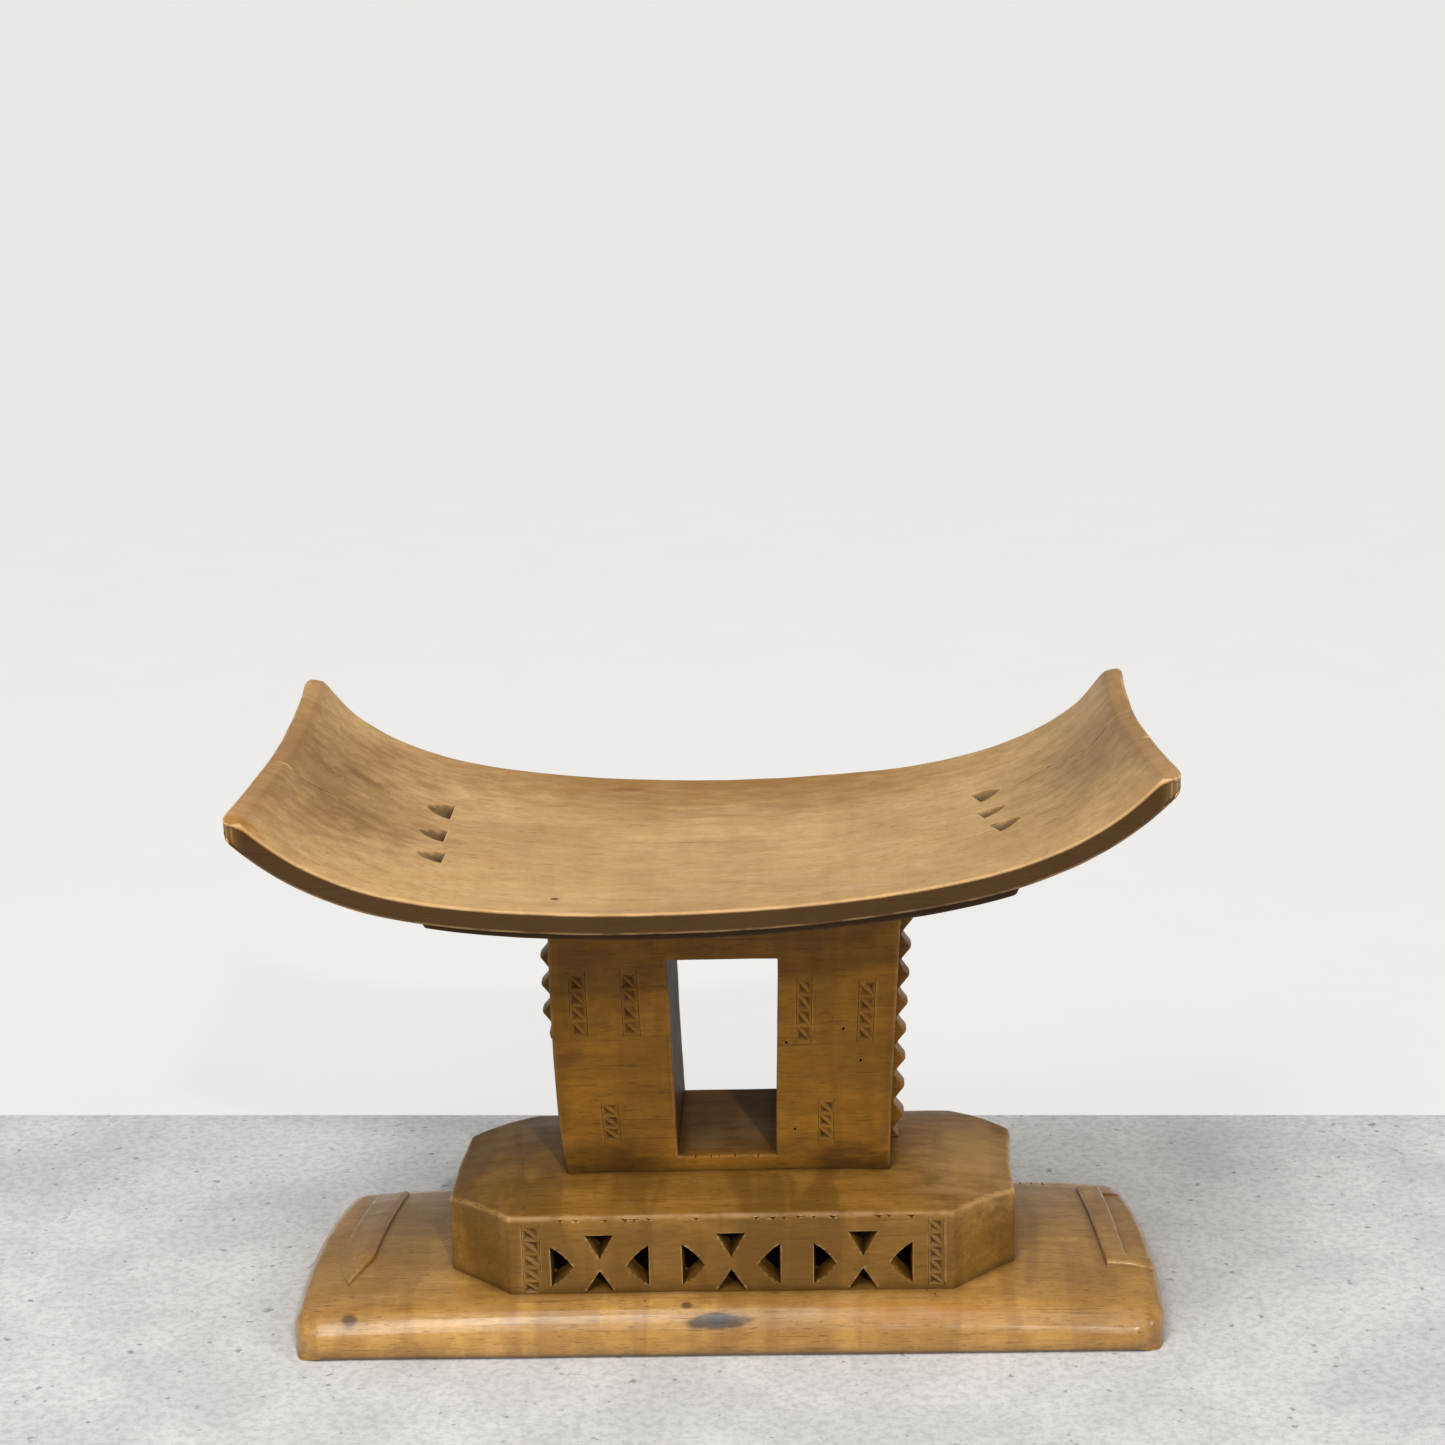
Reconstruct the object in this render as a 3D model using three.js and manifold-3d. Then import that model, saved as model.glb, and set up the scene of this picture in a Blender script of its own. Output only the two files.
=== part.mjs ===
// A carved headrest-stool: a curved seat on a windowed column, standing on a
// hollow pierced plinth and a domed base slab. The real thing is cut from one
// log; here each carved member is a solid of its own with a hairline gap.
// Units are millimetres, +X runs along the seat, +Y to the back, +Z up. The
// origin is on the floor under the middle of the seat.

import * as THREE from 'three';
import { mergeVertices } from 'three/addons/utils/BufferGeometryUtils.js';
import Module from 'manifold-3d';

const wasm = await Module();
wasm.setup();

// ---------------------------------------------------------------- clearances
const GAP = 0.3; // hairline left between members that meet

// ---------------------------------------------------------------------- seat
const SEAT_LENGTH = 500; // tip to tip along the front edge
const SEAT_BACK_SHORTENING = 6; // how much nearer the middle each back tip is
const SEAT_END_HOLLOW = 6; // inward bow of each end edge
const SEAT_DEPTH = 252;
const SEAT_THICKNESS = 12;
const SEAT_HEIGHT = 270; // top face at mid length, at the front and back edges
const SEAT_SWEEP = 30; // rise of the broad curve at the ends
const SEAT_UPTURN = 43; // further rise of the steep upturn at the ends
const UPTURN_POWER = 6; // how sharply the upturn sets in
const SEAT_DISH = 3; // hollow across the seat
const SEAT_TILT = 3.2; // right end high, left end low, by this much each
const SEAT_TWIST = 4.7; // front right and back left tips high by this much
const SEAT_RIM_WIDTH = 11; // nearly level lip along each end
const SEAT_RIM_SLOPE = 0.35;

// Carved wedge marks, a row across each end of the seat
const MARK_COUNT = 3;
const MARK_REACH = 156; // from the seat's middle to the middle of a mark
const MARK_LENGTH = 14;
const MARK_WIDTH = 15;
const MARK_DEPTH = 4;
const LEFT_MARKS = { pitch: 36, middle: -8 }; // row middle from mid depth
const RIGHT_MARKS = { pitch: 32, middle: 4 };

// ----------------------------------------------------- block under the seat
const BLOCK_LENGTH = 321;
const BLOCK_DEPTH = 206;
const BLOCK_THICKNESS = 9;
const BLOCK_END_BEVEL = 4;

// -------------------------------------------------------------------- column
const STAND_X = 8.5; // the stand sits a little to the right under the seat
const COLUMN_WIDTH = 186; // across the foot
const COLUMN_FLARE = 7; // each side leans out by this at the top
const COLUMN_DEPTH = 100;
const REAR_LEDGE = 8; // deck left behind the column
const WINDOW_WIDTH = 56; // at the sill
const WINDOW_FLARE = 3; // each jamb leans out by this at the head
const WINDOW_SHIFT = -2; // window middle, from the column's middle
const WINDOW_HEIGHT = 117;
const SILL_HEIGHT = 9; // above the deck at the column's front face

// ------------------------------------------------------------- saw ridges
const RIDGE_WIDTH = 16; // along Y
const TOOTH_PITCH = 16.5;
const TOOTH_HEIGHT = 9.5;
const TOOTH_ROOT = 3; // web between the teeth and the column
const LEFT_FOOT_WEAR = 4; // the left ridge is worn down towards its foot

// -------------------------------------------------------------------- plinth
const PLINTH_LENGTH = 320;
const PLINTH_DEPTH = 149;
const PLINTH_BACK_SHIFT = 3; // plinth middle, behind the base's middle
const PLINTH_CORNER_X = 36; // corner facet, along the front
const PLINTH_CORNER_Y = 30; // corner facet, along the end
const PLINTH_HEIGHT = 50; // from the slab's edge height up to the deck's edge
const PLINTH_WALL = 12;
const DECK_EDGE_THICKNESS = 10;
const DECK_CROWN = 12;

// Pierced crosses of four triangles
const CROSS_COUNT = 3;
const CROSS_MARGIN = 23; // wood between the outer crosses and the panel's ends
const CROSS_SPACING = 18.5; // wood between two crosses
const CROSS_FOOT = 2.5; // wood left under a cross
const CROSS_HEAD = 1; // wood left between a cross and the deck's underside
const CROSS_SIDE_REACH = 12; // width of a side triangle
const CROSS_SIDE_SHARE = 0.72; // height of a side triangle over the cross height
const CROSS_END_WIDTH = 14; // base of a top or bottom triangle
const CROSS_END_SHARE = 0.41; // its height over the cross height

// ----------------------------------------------------------------- base slab
const BASE_X = 6; // the slab's middle, from the seat's
const BASE_LENGTH = 488;
const BASE_DEPTH = 192;
const BASE_EDGE = 24; // thickness along the long edges, at mid length
const BASE_CROWN = 9; // extra thickness along the middle
const BASE_END_FALL = 5; // how much thinner the corners are
const BASE_NOSE = 13; // rounding of the front and back edges
const BASE_END_NOSE = 6; // rounding of the ends
const BASE_END_BOW = 11; // how far the back corners pull in
const BASE_WIDEST = -40; // the slab is longest at this depth

// Low reliefs on the slab, one near each end
const RELIEF_RISE = 3;
const LEFT_RELIEF_WIDTH = 21;
const LEFT_RELIEF_EDGE = 15; // wood left between the bar and the slab's end
const LEFT_RELIEF_BACK = 74;
const LEFT_RELIEF_FRONT = -36;
const LEFT_RELIEF_POINT = 22; // length of the pointed tip
const RIGHT_RELIEF_WIDTH = 15;
const RIGHT_RELIEF_BACK = 64;
const RIGHT_RELIEF_FRONT = -46;
const RIGHT_RELIEF_INSET = 20; // from the slab's end to the bar's outer side
const RIGHT_FOOT_WIDTH = 12;

// ----------------------------------------------------------------- materials
const wood = (color, roughness) => new THREE.MeshStandardMaterial({ color, roughness, metalness: 0 });
const SEAT_WOOD = wood(0xb88f5e, 0.5);
const COLUMN_WOOD = wood(0x7c5524, 0.5);
const PLINTH_WOOD = wood(0x86602c, 0.55);
const BASE_WOOD = wood(0xa87d48, 0.45);

// ------------------------------------------------------------ geometry tools

/** Leaves only positions and joins the points that coincide. */
function closed(geometry) {
  geometry.deleteAttribute('normal');
  geometry.deleteAttribute('uv');
  return mergeVertices(geometry, 1e-4);
}

/** A closed grid of cells whose points place(s, t, w) sets, each from 0 to 1. */
function gridSolid(cells, place) {
  const geometry = new THREE.BoxGeometry(1, 1, 1, ...cells);
  const position = geometry.getAttribute('position');
  for (let i = 0; i < position.count; i += 1) {
    const s = position.getX(i) + 0.5;
    const t = position.getY(i) + 0.5;
    const w = position.getZ(i) + 0.5;
    position.setXYZ(i, ...place(s, t, w));
  }
  return closed(geometry);
}

/** An upright prism over a plan outline. */
function planPrism(outline, low, high) {
  const shape = new THREE.Shape(outline.map(([x, y]) => new THREE.Vector2(x, y)));
  const geometry = new THREE.ExtrudeGeometry(shape, { depth: high - low, bevelEnabled: false });
  geometry.translate(0, 0, low);
  return closed(geometry);
}

/** A prism along Y over an outline drawn in X and Z. */
function depthPrism(outline, front, back) {
  const shape = new THREE.Shape(outline.map(([x, z]) => new THREE.Vector2(x, z)));
  const geometry = new THREE.ExtrudeGeometry(shape, { depth: back - front, bevelEnabled: false });
  geometry.rotateX(Math.PI / 2);
  geometry.translate(0, back, 0);
  return closed(geometry);
}

/** A block between two corners. */
function block(low, high) {
  const outline = [[low[0], low[1]], [high[0], low[1]], [high[0], high[1]], [low[0], high[1]]];
  return planPrism(outline, low[2], high[2]);
}

function toManifold(geometry) {
  return new wasm.Manifold(new wasm.Mesh({
    numProp: 3,
    vertProperties: new Float32Array(geometry.getAttribute('position').array),
    triVerts: new Uint32Array(geometry.index.array),
  }));
}

function toGeometry(solid) {
  const mesh = solid.getMesh();
  const geometry = new THREE.BufferGeometry();
  geometry.setAttribute('position', new THREE.BufferAttribute(new Float32Array(mesh.vertProperties), 3));
  geometry.setIndex(new THREE.BufferAttribute(new Uint32Array(mesh.triVerts), 1));
  return geometry;
}

const cut = (body, tools) => tools.reduce((left, tool) => left.subtract(toManifold(tool)), body);

const lerp = THREE.MathUtils.lerp;
const clamp = THREE.MathUtils.clamp;

/** 0 to 1 with the steps drawn together at both ends. */
const crowded = (t) => 0.5 - 0.5 * Math.cos(Math.PI * t);

/** How far a rounding of this radius falls at a distance in from the edge. */
function roundFall(distance, radius) {
  const short = clamp(radius - distance, 0, radius);
  return radius - Math.sqrt(radius * radius - short * short);
}

// ------------------------------------------------------------- seat surfaces

function seatHalfLength(y) {
  const v = (2 * y) / SEAT_DEPTH;
  return SEAT_LENGTH / 2 - SEAT_BACK_SHORTENING * (0.5 + v / 2) - SEAT_END_HOLLOW * (1 - v * v);
}

/** Height of the seat's carved curve, before it is dished and its lips are levelled. */
function seatCurve(x, y) {
  const u = Math.abs(x) / seatHalfLength(y);
  const lean = (2 * x) / SEAT_LENGTH;
  const v = (2 * y) / SEAT_DEPTH;
  const rise = SEAT_SWEEP * u * u + SEAT_UPTURN * u ** UPTURN_POWER;
  return SEAT_HEIGHT + rise + SEAT_TILT * lean - SEAT_TWIST * lean * v;
}

function seatTop(x, y) {
  const half = seatHalfLength(y);
  const v = (2 * y) / SEAT_DEPTH;
  const dish = SEAT_DISH * (1 - v * v) * (1 - (x / half) ** 2);
  const crease = half - SEAT_RIM_WIDTH;
  const pastCrease = Math.max(0, Math.abs(x) - crease);
  const inner = clamp(x, -crease, crease);
  return seatCurve(inner, y) - dish + SEAT_RIM_SLOPE * pastCrease;
}

/** Underside, kept an even thickness square to the curve. */
function seatUnder(x, y) {
  const half = seatHalfLength(y);
  const u = Math.abs(x) / half;
  const slope = (2 * SEAT_SWEEP * u + UPTURN_POWER * SEAT_UPTURN * u ** (UPTURN_POWER - 1)) / half;
  return seatCurve(x, y) - SEAT_THICKNESS * Math.hypot(1, slope);
}

const blockTop = (x, y) => seatUnder(x, y) - GAP;
const blockUnder = (x, y) => blockTop(x, y) - BLOCK_THICKNESS;

// ------------------------------------------------------------- base surfaces

function baseHalfLength(y) {
  const reach = BASE_DEPTH / 2 - BASE_WIDEST;
  return BASE_LENGTH / 2 - BASE_END_BOW * ((y - BASE_WIDEST) / reach) ** 2;
}

function baseTop(x, y) {
  const half = baseHalfLength(y);
  const u = Math.abs(x - BASE_X) / half;
  const v = (2 * y) / BASE_DEPTH;
  const dome = BASE_EDGE + BASE_CROWN * (1 - v * v) - BASE_END_FALL * u ** 4;
  const edgeFall = roundFall(BASE_DEPTH / 2 - Math.abs(y), BASE_NOSE);
  const endFall = roundFall(half * (1 - u), BASE_END_NOSE);
  return dome - Math.hypot(edgeFall, endFall);
}

// ----------------------------------------------------------- plinth surfaces
const PLINTH_Y = PLINTH_BACK_SHIFT;
const DECK_EDGE = BASE_EDGE + PLINTH_HEIGHT;
const DECK_UNDERSIDE = DECK_EDGE - DECK_EDGE_THICKNESS;
const PANEL_HALF = PLINTH_LENGTH / 2 - PLINTH_CORNER_X;
const CROSS_WIDTH = (2 * (PANEL_HALF - CROSS_MARGIN) - (CROSS_COUNT - 1) * CROSS_SPACING) / CROSS_COUNT;
const CROSS_PITCH = CROSS_WIDTH + CROSS_SPACING;

/** Octagon of the plinth's plan, drawn in by an inset. */
function plinthOutline(inset) {
  const halfX = PLINTH_LENGTH / 2 - inset;
  const halfY = PLINTH_DEPTH / 2 - inset;
  const reach = (PLINTH_LENGTH / 2) * PLINTH_CORNER_Y + (PLINTH_DEPTH / 2 - PLINTH_CORNER_Y) * PLINTH_CORNER_X
    - inset * Math.hypot(PLINTH_CORNER_X, PLINTH_CORNER_Y);
  const cornerY = (reach - halfX * PLINTH_CORNER_Y) / PLINTH_CORNER_X;
  const cornerX = (reach - halfY * PLINTH_CORNER_X) / PLINTH_CORNER_Y;
  const points = [
    [-cornerX, -halfY], [cornerX, -halfY], [halfX, -cornerY], [halfX, cornerY],
    [cornerX, halfY], [-cornerX, halfY], [-halfX, cornerY], [-halfX, -cornerY],
  ];
  return points.map(([x, y]) => [x + STAND_X, y + PLINTH_Y]);
}

function deckTop(x, y) {
  const u = (2 * (x - STAND_X)) / PLINTH_LENGTH;
  const v = (2 * (y - PLINTH_Y)) / PLINTH_DEPTH;
  return DECK_EDGE + DECK_CROWN * (1 - v * v) * (1 - u ** 4);
}

/** The plinth's whole rectangle between two heights that vary over the plan. */
function plinthLayer(low, high) {
  return toManifold(gridSolid([16, 10, 1], (s, t, w) => {
    const x = STAND_X + PLINTH_LENGTH * (s - 0.5);
    const y = PLINTH_Y + PLINTH_DEPTH * (t - 0.5);
    return [x, y, lerp(low(x, y), high(x, y), w)];
  }));
}

const wallFoot = (x, y) => baseTop(x, y) + GAP;

// ----------------------------------------------------------- column surfaces
const COLUMN_BACK = PLINTH_Y + PLINTH_DEPTH / 2 - REAR_LEDGE;
const COLUMN_FRONT = COLUMN_BACK - COLUMN_DEPTH;
const COLUMN_MIDDLE = (COLUMN_FRONT + COLUMN_BACK) / 2;
const COLUMN_FOOT = deckTop(STAND_X, COLUMN_FRONT);
const COLUMN_HEAD = SEAT_HEIGHT - SEAT_THICKNESS - BLOCK_THICKNESS;
const SILL_TOP = COLUMN_FOOT + SILL_HEIGHT;
const WINDOW_HEAD = SILL_TOP + WINDOW_HEIGHT;
const WINDOW_X = STAND_X + WINDOW_SHIFT;

const columnHalf = (z) => COLUMN_WIDTH / 2 + COLUMN_FLARE * ((z - COLUMN_FOOT) / (COLUMN_HEAD - COLUMN_FOOT));
const windowHalf = (z) => WINDOW_WIDTH / 2 + WINDOW_FLARE * ((z - SILL_TOP) / WINDOW_HEIGHT);

/** A member of the column whose sides are functions of height. */
function columnMember(cells, sides, low, high) {
  return gridSolid(cells, (s, t, w) => {
    const y = lerp(COLUMN_FRONT, COLUMN_BACK, t);
    let z = lerp(COLUMN_FOOT, COLUMN_HEAD, w);
    let x = STAND_X;
    for (let pass = 0; pass < 3; pass += 1) {
      x = lerp(...sides(z), s);
      z = lerp(low(x, y), high(x, y), w);
    }
    return [x, y, z];
  });
}

const columnSeating = (x, y) => deckTop(x, y) + GAP;
const columnHeading = (x, y) => blockUnder(x, y) - GAP;

// ------------------------------------------------------------------- members

function seatBody() {
  const body = gridSolid([40, 10, 1], (s, t, w) => {
    const y = SEAT_DEPTH * (t - 0.5);
    const half = seatHalfLength(y);
    const x = half * lerp(-1, 1, 0.6 * s + 0.4 * crowded(s));
    return [x, y, lerp(seatUnder(x, y), seatTop(x, y), w)];
  });
  const marks = [];
  for (const [side, row] of [[-1, LEFT_MARKS], [1, RIGHT_MARKS]]) {
    for (let i = 0; i < MARK_COUNT; i += 1) {
      const y = row.middle + row.pitch * (i - (MARK_COUNT - 1) / 2);
      marks.push(wedgeMark(side, y));
    }
  }
  return toGeometry(cut(toManifold(body), marks));
}

/** One wedge mark: square towards the seat's middle, pointed towards its end. */
function wedgeMark(side, y) {
  const inner = side * (MARK_REACH - MARK_LENGTH / 2);
  const outer = side * (MARK_REACH + MARK_LENGTH / 2);
  const outline = [[inner, y - MARK_WIDTH / 2], [outer, y], [inner, y + MARK_WIDTH / 2]];
  if (side < 0) {
    outline.reverse();
  }
  const floor = seatTop(side * MARK_REACH, y) - MARK_DEPTH;
  return planPrism(outline, floor, floor + SEAT_SWEEP);
}

function blockBody() {
  return gridSolid([24, 6, 1], (s, t, w) => {
    const y = BLOCK_DEPTH * (t - 0.5);
    const half = BLOCK_LENGTH / 2 - BLOCK_END_BEVEL * (1 - w);
    const x = STAND_X + half * (2 * s - 1);
    return [x, y, lerp(blockUnder(x, y), blockTop(x, y), w)];
  });
}

function pierBody(side) {
  const sides = (z) => {
    const jamb = WINDOW_X + side * windowHalf(z);
    const flank = STAND_X + side * columnHalf(z);
    return [Math.min(jamb, flank), Math.max(jamb, flank)];
  };
  return columnMember([4, 6, 6], sides, columnSeating, columnHeading);
}

/** What fills the window's width above or below the opening. */
function windowFiller(low, high) {
  const sides = (z) => [WINDOW_X - windowHalf(z) + GAP, WINDOW_X + windowHalf(z) - GAP];
  return columnMember([3, 6, 2], sides, low, high);
}

/** A vertical comb of pointed teeth on one side of the column. */
function ridgeBody(side) {
  const front = COLUMN_MIDDLE - RIDGE_WIDTH / 2;
  const back = COLUMN_MIDDLE + RIDGE_WIDTH / 2;
  const flank = (z) => STAND_X + side * (columnHalf(z) + GAP);
  const outermost = flank(COLUMN_HEAD) + side * TOOTH_HEIGHT;
  const foot = Math.max(deckTop(flank(COLUMN_FOOT), COLUMN_MIDDLE), deckTop(flank(COLUMN_FOOT), front)) + 2 * GAP;
  const heads = [front, back].flatMap((y) => [flank(COLUMN_HEAD), outermost].map((x) => blockUnder(x, y)));
  const head = Math.min(...heads) - 2 * GAP;
  const count = Math.max(1, Math.round((head - foot) / TOOTH_PITCH));
  const pitch = (head - foot) / count;
  const outline = [[flank(foot), foot]];
  for (let i = 0; i < count; i += 1) {
    const valley = foot + i * pitch;
    const tip = valley + pitch / 2;
    const wear = side < 0 ? LEFT_FOOT_WEAR * (1 - i / count) : 0;
    outline.push([flank(valley) + side * TOOTH_ROOT, valley + (i === 0 ? 0 : GAP)]);
    outline.push([flank(tip) + side * (TOOTH_HEIGHT - wear), tip]);
  }
  outline.push([flank(head) + side * TOOTH_ROOT, head], [flank(head), head]);
  return depthPrism(side > 0 ? outline : outline.reverse(), front, back);
}

/** Outlines of the four triangles of one cross, centred on an X. */
function crossTriangles(middle) {
  const foot = baseTop(middle, PLINTH_Y - PLINTH_DEPTH / 2) + GAP + CROSS_FOOT;
  const head = DECK_UNDERSIDE - CROSS_HEAD;
  const height = head - foot;
  const centre = (foot + head) / 2;
  const sideHalf = (CROSS_SIDE_SHARE * height) / 2;
  const endHeight = CROSS_END_SHARE * height;
  const sideTriangle = (sign) => {
    const outer = middle + (sign * CROSS_WIDTH) / 2;
    const apex = outer - sign * CROSS_SIDE_REACH;
    return [[outer, centre - sign * sideHalf], [outer, centre + sign * sideHalf], [apex, centre]];
  };
  const endTriangle = (base, sign) => [
    [middle + (sign * CROSS_END_WIDTH) / 2, base],
    [middle - (sign * CROSS_END_WIDTH) / 2, base],
    [middle, base - sign * endHeight],
  ];
  return [sideTriangle(-1), sideTriangle(1), endTriangle(foot, -1), endTriangle(head, 1)];
}

/** The hollow wall of the plinth, and the four walls it is split into. */
function plinthWalls() {
  const tall = BASE_EDGE + PLINTH_HEIGHT + DECK_CROWN + BASE_CROWN;
  const outer = toManifold(planPrism(plinthOutline(0), 0, tall));
  const inner = toManifold(planPrism(plinthOutline(PLINTH_WALL), -1, tall + 1));
  const ring = outer.subtract(inner).intersect(plinthLayer(wallFoot, deckTop));
  const farX = PLINTH_LENGTH;
  const farY = PLINTH_DEPTH;
  const part = (low, high) => ring.intersect(toManifold(block([...low, -1], [...high, tall])));
  const front = part([STAND_X - PANEL_HALF, PLINTH_Y - farY], [STAND_X + PANEL_HALF, PLINTH_Y]);
  const back = part([STAND_X - PANEL_HALF, PLINTH_Y], [STAND_X + PANEL_HALF, PLINTH_Y + farY]);
  const left = part([STAND_X - farX, PLINTH_Y - farY], [STAND_X - PANEL_HALF - GAP, PLINTH_Y + farY]);
  const right = part([STAND_X + PANEL_HALF + GAP, PLINTH_Y - farY], [STAND_X + farX, PLINTH_Y + farY]);
  const piercings = [];
  for (let i = 0; i < CROSS_COUNT; i += 1) {
    const middle = STAND_X + CROSS_PITCH * (i - (CROSS_COUNT - 1) / 2);
    for (const triangle of crossTriangles(middle)) {
      piercings.push(depthPrism(triangle, PLINTH_Y - farY, PLINTH_Y + farY));
    }
  }
  return { front: cut(front, piercings), back: cut(back, piercings), left, right };
}

/** The lid of the plinth, let in between its walls. */
function deckBody() {
  const tall = DECK_EDGE + DECK_CROWN + 1;
  const lid = toManifold(planPrism(plinthOutline(PLINTH_WALL + GAP), 0, tall));
  return toGeometry(lid.intersect(plinthLayer(() => DECK_UNDERSIDE, deckTop)));
}

function baseBody() {
  return gridSolid([32, 16, 1], (s, t, w) => {
    const y = BASE_DEPTH * (crowded(t) - 0.5);
    const x = BASE_X + baseHalfLength(y) * (2 * crowded(s) - 1);
    return [x, y, w * baseTop(x, y)];
  });
}

/** A low raised figure that follows the slab's dome. */
function reliefBody(outline, bounds) {
  const figure = toManifold(planPrism(outline, 0, BASE_EDGE + BASE_CROWN + RELIEF_RISE));
  const layer = toManifold(gridSolid([6, 10, 1], (s, t, w) => {
    const x = lerp(bounds.low[0], bounds.high[0], s);
    const y = lerp(bounds.low[1], bounds.high[1], t);
    return [x, y, baseTop(x, y) + lerp(GAP, RELIEF_RISE, w)];
  }));
  return toGeometry(figure.intersect(layer));
}

/** A straight bar ending in a point towards the front. */
function leftRelief() {
  const outer = (y) => BASE_X - baseHalfLength(y) + LEFT_RELIEF_EDGE;
  const inner = (y) => outer(y) + LEFT_RELIEF_WIDTH;
  const tip = LEFT_RELIEF_FRONT - LEFT_RELIEF_POINT;
  const outline = [
    [outer(LEFT_RELIEF_FRONT), LEFT_RELIEF_FRONT],
    [(outer(tip) + inner(tip)) / 2, tip],
    [inner(LEFT_RELIEF_FRONT), LEFT_RELIEF_FRONT],
    [inner(LEFT_RELIEF_BACK), LEFT_RELIEF_BACK],
    [outer(LEFT_RELIEF_BACK), LEFT_RELIEF_BACK],
  ];
  const low = [Math.min(...outline.map(([x]) => x)) - 1, tip - 1];
  const high = [Math.max(...outline.map(([x]) => x)) + 1, LEFT_RELIEF_BACK + 1];
  return reliefBody(outline, { low, high });
}

/** An angled bar: along the slab's depth, then a foot out to the slab's end. */
function rightRelief() {
  const end = (y) => BASE_X + baseHalfLength(y) - BASE_END_NOSE;
  const outer = (y) => end(y) - RIGHT_RELIEF_INSET + BASE_END_NOSE;
  const inner = (y) => outer(y) - RIGHT_RELIEF_WIDTH;
  const shoulder = RIGHT_RELIEF_FRONT + RIGHT_FOOT_WIDTH;
  const outline = [
    [inner(RIGHT_RELIEF_FRONT), RIGHT_RELIEF_FRONT],
    [end(RIGHT_RELIEF_FRONT), RIGHT_RELIEF_FRONT],
    [end(shoulder), shoulder],
    [outer(shoulder), shoulder],
    [outer(RIGHT_RELIEF_BACK), RIGHT_RELIEF_BACK],
    [inner(RIGHT_RELIEF_BACK), RIGHT_RELIEF_BACK],
  ];
  const low = [Math.min(...outline.map(([x]) => x)) - 1, RIGHT_RELIEF_FRONT - 1];
  const high = [Math.max(...outline.map(([x]) => x)) + 1, RIGHT_RELIEF_BACK + 1];
  return reliefBody(outline, { low, high });
}

// ------------------------------------------------------------------ assembly
const headrest = new THREE.Group();
headrest.name = 'headrest';

function place(parent, name, geometry, material) {
  const mesh = new THREE.Mesh(geometry, material);
  mesh.name = name;
  parent.add(mesh);
}

const base = new THREE.Group();
place(base, 'base_slab', baseBody(), BASE_WOOD);
place(base, 'base_left_relief', leftRelief(), BASE_WOOD);
place(base, 'base_right_relief', rightRelief(), BASE_WOOD);
headrest.add(base);

const plinth = new THREE.Group();
const walls = plinthWalls();
place(plinth, 'plinth_front_panel', toGeometry(walls.front), PLINTH_WOOD);
place(plinth, 'plinth_back_panel', toGeometry(walls.back), PLINTH_WOOD);
place(plinth, 'plinth_left_end', toGeometry(walls.left), PLINTH_WOOD);
place(plinth, 'plinth_right_end', toGeometry(walls.right), PLINTH_WOOD);
place(plinth, 'plinth_deck', deckBody(), PLINTH_WOOD);
headrest.add(plinth);

const column = new THREE.Group();
place(column, 'left_pier', pierBody(-1), COLUMN_WOOD);
place(column, 'right_pier', pierBody(1), COLUMN_WOOD);
place(column, 'window_sill', windowFiller(columnSeating, () => SILL_TOP), COLUMN_WOOD);
place(column, 'window_lintel', windowFiller(() => WINDOW_HEAD, columnHeading), COLUMN_WOOD);
place(column, 'left_saw_ridge', ridgeBody(-1), COLUMN_WOOD);
place(column, 'right_saw_ridge', ridgeBody(1), COLUMN_WOOD);
headrest.add(column);

const top = new THREE.Group();
place(top, 'seat_block', blockBody(), COLUMN_WOOD);
place(top, 'seat', seatBody(), SEAT_WOOD);
headrest.add(top);

export default headrest;
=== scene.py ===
"""The looks of a carved wooden headrest stool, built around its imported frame.

Every member starts as a plain cage, is cut and rounded while it is still flat,
is divided into small cells, and is then bent to the surfaces of the carving.
Lengths are in metres; +X runs along the seat, +Y to the back and +Z up.
"""
import logging
import math
from collections.abc import Callable, Iterable, Sequence
from dataclasses import dataclass
from enum import Enum

import bpy
from mathutils import Matrix, Vector, noise


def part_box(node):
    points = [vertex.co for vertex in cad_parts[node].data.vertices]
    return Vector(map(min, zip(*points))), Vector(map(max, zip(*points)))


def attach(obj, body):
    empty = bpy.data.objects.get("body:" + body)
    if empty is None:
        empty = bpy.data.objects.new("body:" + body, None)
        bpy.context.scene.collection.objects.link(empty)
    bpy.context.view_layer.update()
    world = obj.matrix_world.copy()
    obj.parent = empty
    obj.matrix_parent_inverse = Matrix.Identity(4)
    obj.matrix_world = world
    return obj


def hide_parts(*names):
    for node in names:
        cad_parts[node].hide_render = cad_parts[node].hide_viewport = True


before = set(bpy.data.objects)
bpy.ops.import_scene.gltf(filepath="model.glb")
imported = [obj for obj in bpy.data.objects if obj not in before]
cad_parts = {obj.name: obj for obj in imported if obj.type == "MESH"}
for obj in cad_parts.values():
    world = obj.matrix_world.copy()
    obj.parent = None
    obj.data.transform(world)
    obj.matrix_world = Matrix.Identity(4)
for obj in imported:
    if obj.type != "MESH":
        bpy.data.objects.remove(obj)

LOG = logging.getLogger("headrest")
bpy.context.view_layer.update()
MM = 0.001
PROUD = 2 * MM  # how far a cutting tool stands out of the wood
SEED = 7  # sets the unevenness of the hand work, the same on every run
LEVEL = 0.98  # two faces whose normals agree by more than this have no edge between them
UPRIGHT = 0.9  # a direction with more than this along an axis runs that way

Point = tuple[float, float]
Place = tuple[float, float, float]
Piece = bpy.types.Object
Material = bpy.types.Material
Weigh = Callable[[Vector, Vector], float]
Socket = bpy.types.NodeSocket


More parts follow.
